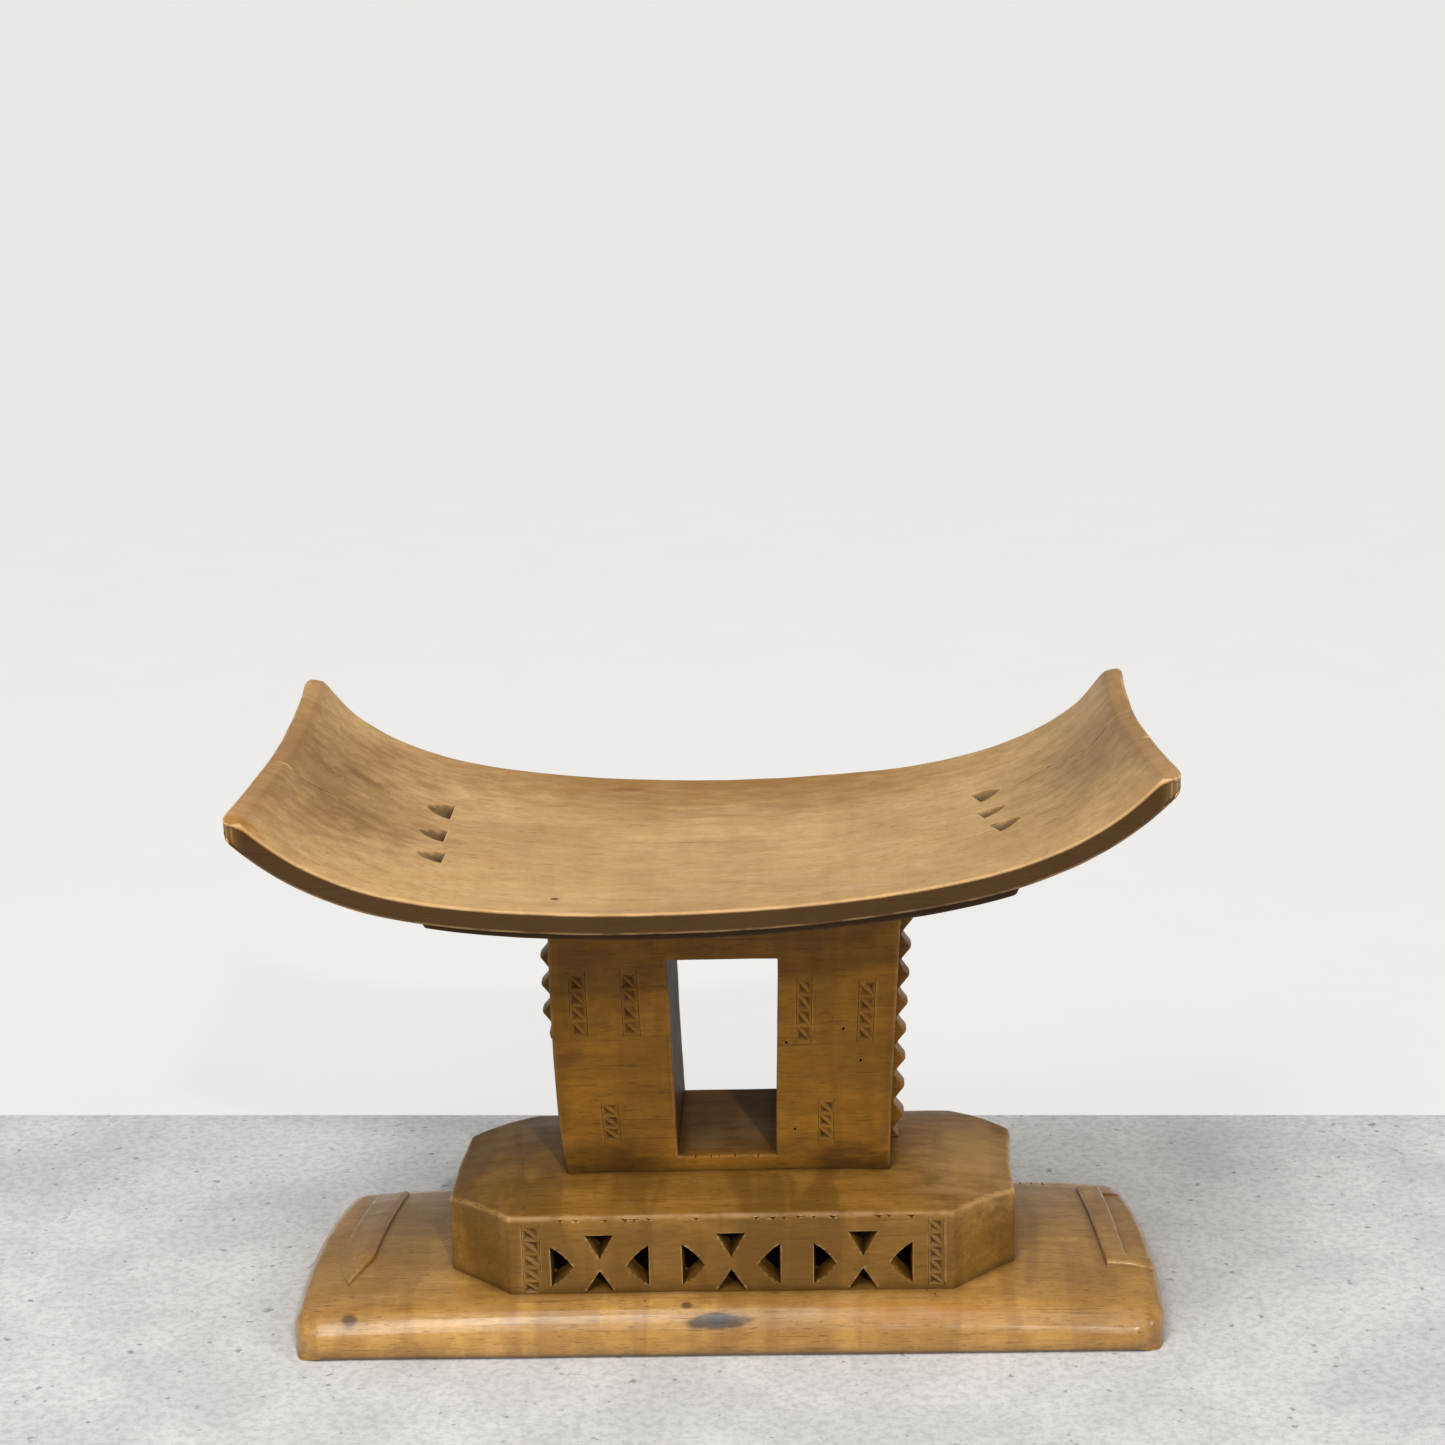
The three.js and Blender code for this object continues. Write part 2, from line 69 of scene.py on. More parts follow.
class Axis(Enum):
    """The three directions of the frame."""

    X = 0
    Y = 1
    Z = 2

    @property
    def normal(self) -> Vector:
        """The unit vector along this axis."""
        return Vector([1.0 if i == self.value else 0.0 for i in range(3)])


class Slot(Enum):
    """The record's material slots."""

    SEAT = "seat_wood"
    COLUMN = "column_wood"
    PLINTH = "plinth_wood"
    BASE = "base_wood"


def blend(low: float, high: float, share: float) -> float:
    """The value a share of the way from low to high."""
    return low + (high - low) * share


def clamp(value: float, low: float = 0.0, high: float = 1.0) -> float:
    """The value, kept between two limits."""
    return max(low, min(high, value))


def smooth(value: float) -> float:
    """An eased 0 to 1."""
    share = clamp(value)
    return share * share * (3 - 2 * share)


def paint(code: str) -> tuple[float, float, float, float]:
    """Turns a screen colour into the linear colour that a shader takes.

    Args:
        code: six hexadecimal digits, red first.

    Returns:
        The linear red, green and blue, and an alpha of one.
    """
    shares = [int(code[i:i + 2], 16) / 255 for i in (0, 2, 4)]
    linear = [s / 12.92 if s <= 0.04045 else ((s + 0.055) / 1.055) ** 2.4 for s in shares]
    return (*linear, 1.0)


# ------------------------------------------------------------------ the forms


@dataclass(frozen=True)
class SeatForm:
    """The swept top and underside of the seat."""

    length: float
    depth: float
    back_shortening: float = 6 * MM
    end_hollow: float = 6 * MM
    thickness: float = 12 * MM
    height: float = 270 * MM
    sweep: float = 30 * MM
    upturn: float = 43 * MM
    upturn_power: int = 6
    dish: float = 3 * MM
    tilt: float = 3.2 * MM
    twist: float = 4.7 * MM
    rim_width: float = 11 * MM
    rim_slope: float = 0.22
    crease_width: float = 2.6 * MM
    horn_rise: float = 7.5 * MM

    def half_length(self, y: float) -> float:
        """Half the seat's length at a depth."""
        v = 2 * y / self.depth
        return self.length / 2 - self.back_shortening * (0.5 + v / 2) - self.end_hollow * (1 - v * v)

    def curve(self, x: float, y: float) -> float:
        """Height of the carved curve before it is dished and its lips are levelled.

        Args:
            x: along the seat.
            y: across it.

        Returns:
            Metres above the floor.
        """
        u = abs(x) / self.half_length(y)
        v = 2 * y / self.depth
        lean = 2 * x / self.length
        rise = self.sweep * u * u + self.upturn * u ** self.upturn_power
        return self.height + rise + self.tilt * lean - self.twist * lean * v

    def top(self, x: float, y: float) -> float:
        """Height of the seat's top, with a soft crease where the lip begins.

        Args:
            x: along the seat.
            y: across it.

        Returns:
            Metres above the floor.
        """
        half = self.half_length(y)
        v = 2 * y / self.depth
        dish = self.dish * (1 - v * v) * (1 - (x / half) ** 2)
        past = abs(x) - (half - self.rim_width)
        eased = 0.5 * (past + math.sqrt(past * past + (self.crease_width / 2) ** 2))
        inner = math.copysign(abs(x) - eased, x) if x else 0.0
        last_eighth = smooth(abs(x) / half * 8 - 7)
        horn = self.horn_rise * last_eighth * clamp(v) ** 2
        return self.curve(inner, y) - dish + self.rim_slope * eased + horn

    def under(self, x: float, y: float) -> float:
        """Height of the underside, an even thickness square to the curve.

        Args:
            x: along the seat.
            y: across it.

        Returns:
            Metres above the floor.
        """
        half = self.half_length(y)
        u = abs(x) / half
        slope = (2 * self.sweep * u + self.upturn_power * self.upturn * u ** (self.upturn_power - 1)) / half
        return self.curve(x, y) - self.thickness * math.hypot(1, slope)


@dataclass(frozen=True)
class BaseForm:
    """The domed slab that the carving stands on."""

    middle: float
    length: float
    depth: float
    edge: float = 24 * MM
    crown: float = 9 * MM
    end_fall: float = 5 * MM
    end_bow: float = 11 * MM
    widest: float = -40 * MM

    def half_length(self, y: float) -> float:
        """Half the slab's length at a depth."""
        reach = self.depth / 2 - self.widest
        return self.length / 2 - self.end_bow * ((y - self.widest) / reach) ** 2

    def top(self, x: float, y: float) -> float:
        """Height of the dome, without the rounding of its edges.

        Args:
            x: along the slab.
            y: across it.

        Returns:
            Metres above the floor.
        """
        u = (x - self.middle) / self.half_length(y)
        v = 2 * y / self.depth
        return self.edge + self.crown * (1 - v * v) - self.end_fall * u ** 4


@dataclass(frozen=True)
class DeckForm:
    """The crowned top of the plinth."""

    middle: Point
    length: float
    depth: float
    edge: float = 74 * MM
    crown: float = 12 * MM

    def top(self, x: float, y: float) -> float:
        """Height of the deck at a place.

        Args:
            x: along the deck.
            y: across it.

        Returns:
            Metres above the floor.
        """
        u = clamp(2 * (x - self.middle[0]) / self.length, -1, 1)
        v = clamp(2 * (y - self.middle[1]) / self.depth, -1, 1)
        return self.edge + self.crown * (1 - v * v) * (1 - u ** 4)


@dataclass(frozen=True)
class HandWork:
    """The small unevenness that knife and adze leave on every surface."""

    swell: float = 0.45 * MM
    swell_pitch: float = 55 * MM
    facet: float = 0.16 * MM
    facet_pitch: float = 14 * MM
    ripple: float = 0.0
    ripple_pitch: float = 24 * MM
    ripple_breadth: float = 0.11

    def shift(self, place: Vector) -> Vector:
        """How far a point of the carving stands from its ruled place.

        Args:
            place: the ruled place.

        Returns:
            The shift along all three axes.
        """
        broad = noise.noise_vector(place / self.swell_pitch) * self.swell
        fine = noise.noise_vector(place / self.facet_pitch + Vector((7.0, 3.0, 5.0))) * self.facet
        breadth = self.ripple_breadth
        across = Vector((place.x / self.ripple_pitch, place.y / breadth, place.z / breadth))
        wave = noise.noise(across) * self.ripple
        return broad + fine + Vector((0, -wave, wave))


# ------------------------------------------------------------------ the bench


class Bench:
    """The hand operations that every member is made with."""

    @staticmethod
    def clear() -> None:
        """Leaves nothing selected."""
        if bpy.context.object and bpy.context.object.mode != "OBJECT":
            bpy.ops.object.mode_set(mode="OBJECT")
        bpy.ops.object.select_all(action="DESELECT")

    @staticmethod
    def take(piece: Piece) -> None:
        """Makes one piece the only one selected, and the active one.

        Args:
            piece: what to take in hand.
        """
        Bench.clear()
        piece.select_set(True)
        bpy.context.view_layer.objects.active = piece

    @staticmethod
    def prism(name: str, lower: Sequence[Vector], upper: Sequence[Vector]) -> Piece:
        """A closed body between two rings of as many points.

        Args:
            name: what to call it.
            lower: the first ring, in order round it.
            upper: the second ring, point for point above the first.

        Returns:
            The new piece.
        """
        Bench.clear()
        bpy.ops.mesh.primitive_cylinder_add(vertices=len(lower), radius=1, depth=1)
        piece = bpy.context.object
        piece.name = name
        below = [v for v in piece.data.vertices if v.co.z < 0]
        above = [v for v in piece.data.vertices if v.co.z > 0]
        for vertex, place in zip(below + above, [*lower, *upper]):
            vertex.co = place
        Bench.face_outwards(piece)
        return piece

    @staticmethod
    def slab(name: str, outline: Sequence[Point], low: float, high: float) -> Piece:
        """An upright body over an outline in plan."""
        rings = [[Vector((x, y, z)) for x, y in outline] for z in (low, high)]
        return Bench.prism(name, *rings)

    @staticmethod
    def pick(name: str, ring: Sequence[Vector], point: Vector) -> Piece:
        """A pointed body from a ring of points to a single one.

        Args:
            name: what to call it.
            ring: the points round its open end.
            point: its tip.

        Returns:
            The new piece.
        """
        Bench.clear()
        bpy.ops.mesh.primitive_cone_add(vertices=len(ring), radius1=1, radius2=0, depth=1)
        piece = bpy.context.object
        piece.name = name
        around = [v for v in piece.data.vertices if v.co.z < 0]
        tip = next(v for v in piece.data.vertices if v.co.z > 0)
        for vertex, place in zip(around, ring):
            vertex.co = place
        tip.co = point
        Bench.face_outwards(piece)
        return piece

    @staticmethod
    def face_outwards(piece: Piece) -> None:
        """Turns every face of a closed piece to the outside.

        Args:
            piece: the closed piece.
        """
        Bench.take(piece)
        bpy.ops.object.mode_set(mode="EDIT")
        bpy.ops.mesh.select_all(action="SELECT")
        bpy.ops.mesh.normals_make_consistent(inside=False)
        bpy.ops.object.mode_set(mode="OBJECT")

    @staticmethod
    def round_edges(piece: Piece, width: float, segments: int, weigh: Weigh) -> None:
        """Rounds the edges of a cage.

        Args:
            piece: the cage.
            width: the rounding of an edge that weighs one.
            segments: cells round each edge.
            weigh: from an edge's middle and its direction, the share of the width it gets.
        """
        mesh = piece.data
        weights = mesh.attributes.new("bevel_weight_edge", "FLOAT", "EDGE")
        sides: dict[tuple[int, int], list[Vector]] = {}
        for face in mesh.polygons:
            for key in face.edge_keys:
                sides.setdefault(key, []).append(face.normal)
        for edge in mesh.edges:
            around = sides[edge.key]
            if around[0].dot(around[-1]) < LEVEL:
                ends = [mesh.vertices[i].co for i in edge.vertices]
                middle, way = (ends[0] + ends[1]) / 2, (ends[1] - ends[0]).normalized()
                weights.data[edge.index].value = weigh(middle, way)
        rounding = piece.modifiers.new("rounding", "BEVEL")
        rounding.limit_method = "WEIGHT"
        rounding.offset_type = "OFFSET"
        rounding.width = width
        rounding.segments = segments
        rounding.use_clamp_overlap = True
        Bench.take(piece)
        bpy.ops.object.modifier_apply(modifier=rounding.name)

    @staticmethod
    def cut(piece: Piece, tools: Sequence[Piece]) -> None:
        """Cuts a set of tools out of a piece and throws the tools away.

        Args:
            piece: what is cut.
            tools: closed bodies that are clear of each other.
        """
        if not tools:
            return
        Bench.clear()
        for tool in tools:
            tool.select_set(True)
        bpy.context.view_layer.objects.active = tools[0]
        if len(tools) > 1:
            bpy.ops.object.join()
        tool = bpy.context.object
        cutting = piece.modifiers.new("cutting", "BOOLEAN")
        cutting.operation = "DIFFERENCE"
        cutting.solver = "MANIFOLD"
        cutting.object = tool
        Bench.take(piece)
        bpy.ops.object.modifier_apply(modifier=cutting.name)
        bpy.data.objects.remove(tool)

    @staticmethod
    def divide(piece: Piece, cells: Sequence[float]) -> None:
        """Cuts a piece's faces into small cells, with level cuts along X, Y and Z.

        Args:
            piece: the piece.
            cells: the size of a cell along each axis; nothing is cut where it is zero.
        """
        places = [v.co.copy() for v in piece.data.vertices]
        Bench.take(piece)
        bpy.ops.object.mode_set(mode="EDIT")
        for axis, cell in zip(Axis, cells):
            low = min(p[axis.value] for p in places)
            high = max(p[axis.value] for p in places)
            count = max(1, round((high - low) / cell)) if cell else 1
            for i in range(1, count):
                bpy.ops.mesh.select_all(action="SELECT")
                at = axis.normal * blend(low, high, i / count)
                bpy.ops.mesh.bisect(plane_co=at, plane_no=axis.normal, threshold=1e-6)
        bpy.ops.object.mode_set(mode="OBJECT")

    @staticmethod
    def bend(piece: Piece, move: Callable[[Vector], Vector], rubbed: Callable[[Vector], float]) -> None:
        """Moves every point of a piece to its place on the carving, and wears its edges.

        Args:
            piece: the divided cage.
            move: from a place on the cage, the place on the carving.
            rubbed: from a place on the cage, how much its edge is rubbed in use, from 0 to 1.
        """
        shares = [rubbed(vertex.co) for vertex in piece.data.vertices]
        for vertex in piece.data.vertices:
            vertex.co = move(vertex.co)
        piece.data.update()
        Bench.face_outwards(piece)
        Bench.weather(piece, shares)

    @staticmethod
    def weather(piece: Piece, shares: Sequence[float]) -> None:
        """Notes how far every point stands out from its neighbours, for the finish to paint it pale: wear,
        and on a sharp arris a painted highlight.

        Args:
            piece: the bent piece.
            shares: how much each of its points is rubbed.
        """
        mesh = piece.data
        stands = [0.0] * len(mesh.vertices)
        joined = [0] * len(mesh.vertices)
        for edge in mesh.edges:
            first, second = (mesh.vertices[i] for i in edge.vertices)
            run = (first.co - second.co).normalized()
            stands[first.index] += run.dot(first.normal)
            stands[second.index] -= run.dot(second.normal)
            joined[first.index] += 1
            joined[second.index] += 1
        wear = mesh.attributes.new("wear", "FLOAT", "POINT")
        for i, count in enumerate(joined):
            wear.data[i].value = shares[i] * stands[i] / max(1, count)

    @staticmethod
    def tint(piece: Piece, name: str, share: Callable[[Vector], float]) -> None:
        """Writes a value on every point of a cage, for its finish to read.

        Args:
            piece: the divided cage, not bent yet.
            name: what the finish calls the value.
            share: from a place on the cage, a value from 0 to 1.
        """
        values = piece.data.attributes.new(name, "FLOAT", "POINT")
        for vertex in piece.data.vertices:
            values.data[vertex.index].value = share(vertex.co)

    @staticmethod
    def split(piece: Piece, axis: Axis, place: float, name: str) -> Piece:
        """Saws a piece in two and closes both halves.

        Args:
            piece: what is sawn; it keeps the half below the place.
            axis: the direction that is square to the saw cut.
            place: where the cut goes.
            name: what to call the other half.

        Returns:
            The half above the place.
        """
        other = piece.copy()
        other.data = piece.data.copy()
        other.name = other.data.name = name
        bpy.context.collection.objects.link(other)
        for half, keeps_low in ((piece, True), (other, False)):
            Bench.take(half)
            bpy.ops.object.mode_set(mode="EDIT")
            bpy.ops.mesh.select_all(action="SELECT")
            bpy.ops.mesh.bisect(
                plane_co=axis.normal * place, plane_no=axis.normal, use_fill=True,
                clear_outer=keeps_low, clear_inner=not keeps_low, threshold=1e-7,
            )
            bpy.ops.object.mode_set(mode="OBJECT")
        return other

    @staticmethod
    def polish(piece: Piece, angle: float = 32) -> None:
        """Shades a piece smooth, with its edges kept crisp past an angle in degrees."""
        Bench.take(piece)
        bpy.ops.object.shade_smooth_by_angle(angle=math.radians(angle))

    @staticmethod
    def deliver(piece: Piece, name: str, slot: Slot, nodes: Iterable[str], material: Material) -> Piece:
        """Names and dresses a finished piece and puts it in the frame.

        Args:
            piece: the finished mesh.
            name: its name in the part.
            slot: the record's slot for its finish; not used.
            nodes: the members of the frame that it stands for.
            material: its finish.

        Returns:
            The piece.
        """
        piece.name = piece.data.name = name
        Bench.polish(piece)
        piece.data.materials.clear()
        piece.data.materials.append(material)
        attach(piece, "root")
        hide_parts(*nodes)
        piece.data.calc_loop_triangles()
        LOG.info("%s: %d triangles", name, len(piece.data.loop_triangles))
        return piece


# -------------------------------------------------------------------- cutting


@dataclass(frozen=True)
class Chisel:
    """Knife and gouge cuts in a face that looks along -Y or +Z."""

    face: float
    axis: Axis = Axis.Y

    def at(self, across: float, along: float, depth: float) -> Vector:
        """A point at a depth under the face; a depth below zero is outside the wood.

        Args:
            across: its X.
            along: its Z on a front face, or its Y on a top one.
            depth: how deep it is.

        Returns:
            The place in the frame.
        """
        if self.axis is Axis.Y:
            return Vector((across, self.face + depth, along))
        return Vector((across, along, self.face - depth))

    def chip(self, corners: Sequence[Point], depth: float) -> Piece:
        """One pyramid-shaped chip under a small outline.

        Args:
            corners: the outline on the face.
            depth: how deep its floor comes to a point.

        Returns:
            The cutting tool.
        """
        middle = Vector((sum(c[0] for c in corners), sum(c[1] for c in corners))) / len(corners)
        spread = 1 + PROUD / depth
        ring = [self.at(*(middle + (Vector(c) - middle) * spread), -PROUD) for c in corners]
        return Bench.pick("chip", ring, self.at(*middle, depth))

    def groove(self, start: Point, end: Point, width: float, depth: float) -> Piece:
        """A straight knife line with a sharp floor.

        Args:
            start: one end.
            end: the other end.
            width: how wide it is at the face.
            depth: how deep it is.

        Returns:
            The cutting tool.
        """
        run = Vector(end) - Vector(start)
        side = Vector((-run.y, run.x)).normalized() * width

        def section(at: Vector) -> list[Vector]:
            """The V of the knife, from outside the wood to the floor of the line."""
            return [self.at(*(at + side), -depth), self.at(*(at - side), -depth), self.at(*at, depth)]

        return Bench.prism("line", section(Vector(start)), section(Vector(end)))

    def crack(self, route: Sequence[Point], width: float, depth: float) -> Piece:
        """A drying crack along a route, widest in its middle and closed at its ends.

        Args:
            route: places along it.
            width: its greatest width.
            depth: how deep it is.

        Returns:
            The cutting tool.
        """
        left: list[Vector] = []
        right: list[Vector] = []
        last = len(route) - 1
        for i, place in enumerate(route):
            ahead = Vector(route[min(last, i + 1)]) - Vector(route[max(0, i - 1)])
            half = width / 2 * math.sin(math.pi * blend(0.06, 0.94, i / last))
            side = Vector((-ahead.y, ahead.x)).normalized() * half
            left.append(Vector(place) + side)
            right.append(Vector(place) - side)
        outline = [*left, *reversed(right)]
        rings = [[self.at(*p, d) for p in outline] for d in (depth, -PROUD)]
        return Bench.prism("crack", *rings)

    def hole(self, across: float, along: float, radius: float, depth: float) -> Piece:
        """A beetle's exit hole.

        Args:
            across: its first coordinate on the face.
            along: its second one.
            radius: its radius.
            depth: how deep it is.

        Returns:
            The cutting tool.
        """
        turns = [math.tau * i / 8 for i in range(8)]
        outline = [(across + radius * math.cos(t), along + radius * math.sin(t)) for t in turns]
        rings = [[self.at(*p, d) for p in outline] for d in (depth, -PROUD)]
        return Bench.prism("hole", *rings)


@dataclass(frozen=True)
class ZigzagBand:
    """An upright band of stacked Z figures between two knife lines."""

    left: float
    right: float
    low: float
    high: float
    pitch: float = 8.4 * MM
    bar: float = 0.7 * MM
    depth: float = 1.5 * MM
    line_width: float = 0.7 * MM
    line_depth: float = 0.35 * MM

    def tools(self, chisel: Chisel) -> list[Piece]:
        """The chips and lines that cut this band.

        Args:
            chisel: the face it is cut in.

        Returns:
            The cutting tools, clear of each other.
        """
        made: list[Piece] = []
        count = round((self.high - self.low) / self.pitch)
        pitch = (self.high - self.low) / count
        for i in range(count):
            foot, head = self.low + i * pitch, self.low + (i + 1) * pitch
            slip = noise.noise(Vector((self.left, foot, 0.3)) / self.pitch) * self.bar
            lower = [(self.left, foot), (self.right - self.bar, foot),
                     (self.left, head - 2 * self.bar + slip)]
            upper = [(self.right, head - self.bar), (self.left + self.bar - slip, head - self.bar),
                     (self.right, foot + self.bar)]
            made.append(chisel.chip(lower, self.depth + slip))
            made.append(chisel.chip(upper, self.depth * 0.8 - slip))
        for x in (self.left - self.line_width, self.right + self.line_width):
            start, end = (x, self.low - MM), (x, self.high + MM)
            made.append(chisel.groove(start, end, self.line_width / 2, self.line_depth))
        return made


# ------------------------------------------------------------------- finishes


class Graph:
    """A small hand for laying out the nodes of one material."""

    def __init__(self, name: str) -> None:
        """Starts an empty material.

        Args:
            name: what to call it.
        """
        self.material = bpy.data.materials.new(name)
        self.material.use_nodes = True
        self.tree = self.material.node_tree
        self.tree.nodes.clear()
        self.place = self.node("ShaderNodeTexCoord").outputs["Object"]

    def node(self, kind: str, inputs: dict[str | int, object] | None = None,
             **settings: object) -> bpy.types.Node:
        """Adds a node.

        Args:
            kind: the name of its type.
            inputs: a value or another node's output for each named or numbered input.
            settings: the node's own choices.

        Returns:
            The node.
        """
        made = self.tree.nodes.new(kind)
        for key, value in settings.items():
            setattr(made, key, value)
        for key, value in (inputs or {}).items():
            if isinstance(value, Socket):
                self.tree.links.new(value, made.inputs[key])
            else:
                made.inputs[key].default_value = value
        return made

    def noise(self, scale: Place, detail: float = 3, roughness: float = 0.55, warp: float = 0) -> Socket:
        """Cloudy noise, drawn out along the axes where its scale is small.

        Args:
            scale: clouds to a metre along each axis.
            detail: how many finer layers it has.
            roughness: how strong those are.
            warp: how far it is swirled.

        Returns:
            The noise, from 0 to 1.
        """
        spread = self.vector("MULTIPLY", self.place, scale)
        inputs = {"Vector": spread, "Scale": 1.0, "Detail": detail, "Roughness": roughness,
                  "Distortion": warp}
        return self.node("ShaderNodeTexNoise", inputs).outputs["Fac"]

    def span(self, value: Socket, low: float, high: float, first: float = 0,
             last: float = 1) -> Socket:
        """Eases a value from first at low to last at high.

        Args:
            value: what is eased.
            low: where the change begins.
            high: where it ends.
            first: the result at low.
            last: the result at high.

        Returns:
            The eased value.
        """
        inputs = {"Value": value, "From Min": low, "From Max": high, "To Min": first, "To Max": last}
        return self.node("ShaderNodeMapRange", inputs, interpolation_type="SMOOTHSTEP").outputs["Result"]

    def sum(self, operation: str, first: object, second: object) -> Socket:
        """One step of arithmetic."""
        return self.node("ShaderNodeMath", {0: first, 1: second}, operation=operation).outputs[0]

    def vector(self, operation: str, first: object, second: object) -> Socket:
        """One step of arithmetic on places."""
        return self.node("ShaderNodeVectorMath", {0: first, 1: second}, operation=operation).outputs[0]

    def value(self, name: str) -> Socket:
        """A value that a piece carries on its points, zero where it carries none."""
        return self.node("ShaderNodeAttribute", attribute_name=name).outputs["Fac"]

    def mix(self, share: object, first: object, second: object, how: str = "MIX") -> Socket:
        """Lays one colour over another.

        Args:
            share: how much of the second shows.
            first: the colour below.
            second: the colour above.
            how: the name of the way they mix.

        Returns:
            The mixed colour.
        """
        inputs = {0: share, 6: first, 7: second}
        choices = {"data_type": "RGBA", "blend_type": how, "clamp_factor": True}
        return self.node("ShaderNodeMix", inputs, **choices).outputs[2]


@dataclass(frozen=True)
class StainOrPaintedLight:
    """A soft-edged patch of another colour: some are marks in the wood itself, others painted light or
    painted shade.
    """

    centre: Place
    radii: Place
    tint: str
    strength: float = 0.8
    softness: float = 0.6


@dataclass(frozen=True)
class WaxedWood:
    """Hand-polished close-grained wood with the grain along X.

    Pale, warm and deep are the wood's own colours. The darkest colour is dark wax and also painted shade in
    occluded corners and cut hollows; the shade colour is painted shade on faces turned from the light; the
    lip colour tints the level lips; the worn colour is pale wear, which on a sharp arris also paints a
    highlight.
    The numbers are shares from 0 to 1, but for bending, which is the wax's index of refraction.
    """

    name: str
    pale: str
    warm: str
    deep: str
    # Dark wax in pores and hollows, and the colour of painted shade in occluded corners and cuts.
    grime_and_shade: str = "2a1808"
    # Painted shade on faces turned from the light: edges, undersides, creases and the window's walls.
    painted_shade: str = "3a2202"
    lip: str = "9a7248"
    # Pale wear on raised edges; on a sharp arris it also stands for a painted highlight.
    worn: str = "dcb27c"
    roughness: float = 0.40
    # How pale raised edges turn: wear, and on a sharp arris a painted highlight.
    edge_wear_and_highlight: float = 0.5
    # How strongly occluded corners are darkened as painted shade.
    crevice_shade: float = 0.75
    ripple: float = 0.25
    mottle: float = 0.18
    pores: float = 0.40
    fibres: float = 0.30
    clouds: float = 0.36
    hairs: float = 0.35
    lip_share: float = 0.45
    # How strongly the painted shade is laid on.
    shade_strength: float = 0.94
    # How strongly cut hollows are darkened, as dark wax and painted shade.
    wax: float = 0.88
    dullness: float = 0.4
    fibre_height: float = 0.35
    scrape_height: float = 0.9
    pore_depth: float = 0.30
    bump: float = 0.42
    bending: float = 1.45
    shine: float = 0.16
    coat: float = 0.12
    coat_roughness: float = 0.30
    # Patches of other colour: marks in the wood, painted light and painted shade.
    stains_and_light: tuple[StainOrPaintedLight, ...] = ()

    def colour(self, graph: Graph) -> Socket:
        """The wood's colour: streaks, ripple figure, pores, patches, dark wax and wear, with painted light
        and painted shade laid over it.

        Args:
            graph: the material being laid out.

        Returns:
            The finished colour.
        """
        streaks = graph.span(graph.noise((10, 90, 90), 6, 0.7, 0.3), 0.36, 0.64)
        clouds = graph.span(graph.noise((12, 16, 16), 5, 0.62), 0.36, 0.66)
        tone = graph.mix(streaks, paint(self.warm), paint(self.pale))
        tone = graph.mix(graph.sum("MULTIPLY", clouds, self.clouds), tone, paint(self.deep))
        figure = graph.span(graph.noise((52, 9, 9), 2, 0.5, 0.5), 0.45, 0.60)
        tone = graph.mix(graph.sum("MULTIPLY", figure, self.ripple), tone, paint(self.deep))
        mottle = graph.span(graph.noise((110, 150, 150), 6, 0.76), 0.44, 0.64)
        tone = graph.mix(graph.sum("MULTIPLY", mottle, self.mottle), tone, paint(self.deep))
        fibres = graph.span(graph.noise((70, 620, 620), 4, 0.7), 0.49, 0.66)
        tone = graph.mix(graph.sum("MULTIPLY", fibres, self.fibres), tone, paint(self.deep))
        hairs = graph.span(graph.noise((13, 620, 620), 2, 0.5), 0.63, 0.72)
        tone = graph.mix(graph.sum("MULTIPLY", hairs, self.hairs), tone, paint(self.grime_and_shade))
        pores = graph.span(graph.noise((110, 900, 900), 3, 0.6), 0.58, 0.70)
        tone = graph.mix(graph.sum("MULTIPLY", pores, self.pores), tone, paint(self.grime_and_shade))
        for stain_or_light in self.stains_and_light:
            tone = self.stained_or_lit(graph, tone, stain_or_light)
        return self.aged_and_shaded(graph, tone)

    def stained_or_lit(self, graph: Graph, tone: Socket, stain_or_light: StainOrPaintedLight) -> Socket:
        """Lays one patch over the colour, with a ragged edge.

        Args:
            graph: the material being laid out.
            tone: the colour so far.
            stain_or_light: the patch of colour.

        Returns:
            The colour with the stain.
        """
        away = graph.vector("SUBTRACT", graph.place, stain_or_light.centre)
        share = graph.vector("DIVIDE", away, stain_or_light.radii)
        reach = graph.node("ShaderNodeVectorMath", {0: share}, operation="LENGTH").outputs["Value"]
        ragged = graph.sum("ADD", reach, graph.span(graph.noise((50, 130, 130), 3, 0.6), 0.3, 0.7, -0.2, 0.2))
        mask = graph.span(ragged, 1 - stain_or_light.softness, 1.05, stain_or_light.strength, 0)
        return graph.mix(mask, tone, paint(stain_or_light.tint))

    def aged_and_shaded(self, graph: Graph, tone: Socket) -> Socket:
        """Painted shade in occluded corners, on faces turned from the light and in cut hollows, where dark
        wax also lies; the lips' tone; and pale wear on the edges, which on a sharp arris also paints a
        highlight.

        Args:
            graph: the material being laid out.
            tone: the colour so far.

        Returns:
            The colour with wax, wear, the lips' tone and painted shade.
        """
        # Painted shade wherever nearby wood occludes the surface.
        shelter = graph.node("ShaderNodeAmbientOcclusion", {"Distance": 9 * MM}, samples=6).outputs["AO"]
        painted_crevice_shade = graph.span(shelter, 0.35, 0.95, self.crevice_shade, 0)
        tone = graph.mix(painted_crevice_shade, tone, paint(self.grime_and_shade))
        patchy = graph.span(graph.noise((60, 60, 60), 3, 0.6), 0.35, 0.6, 0.25, 1)
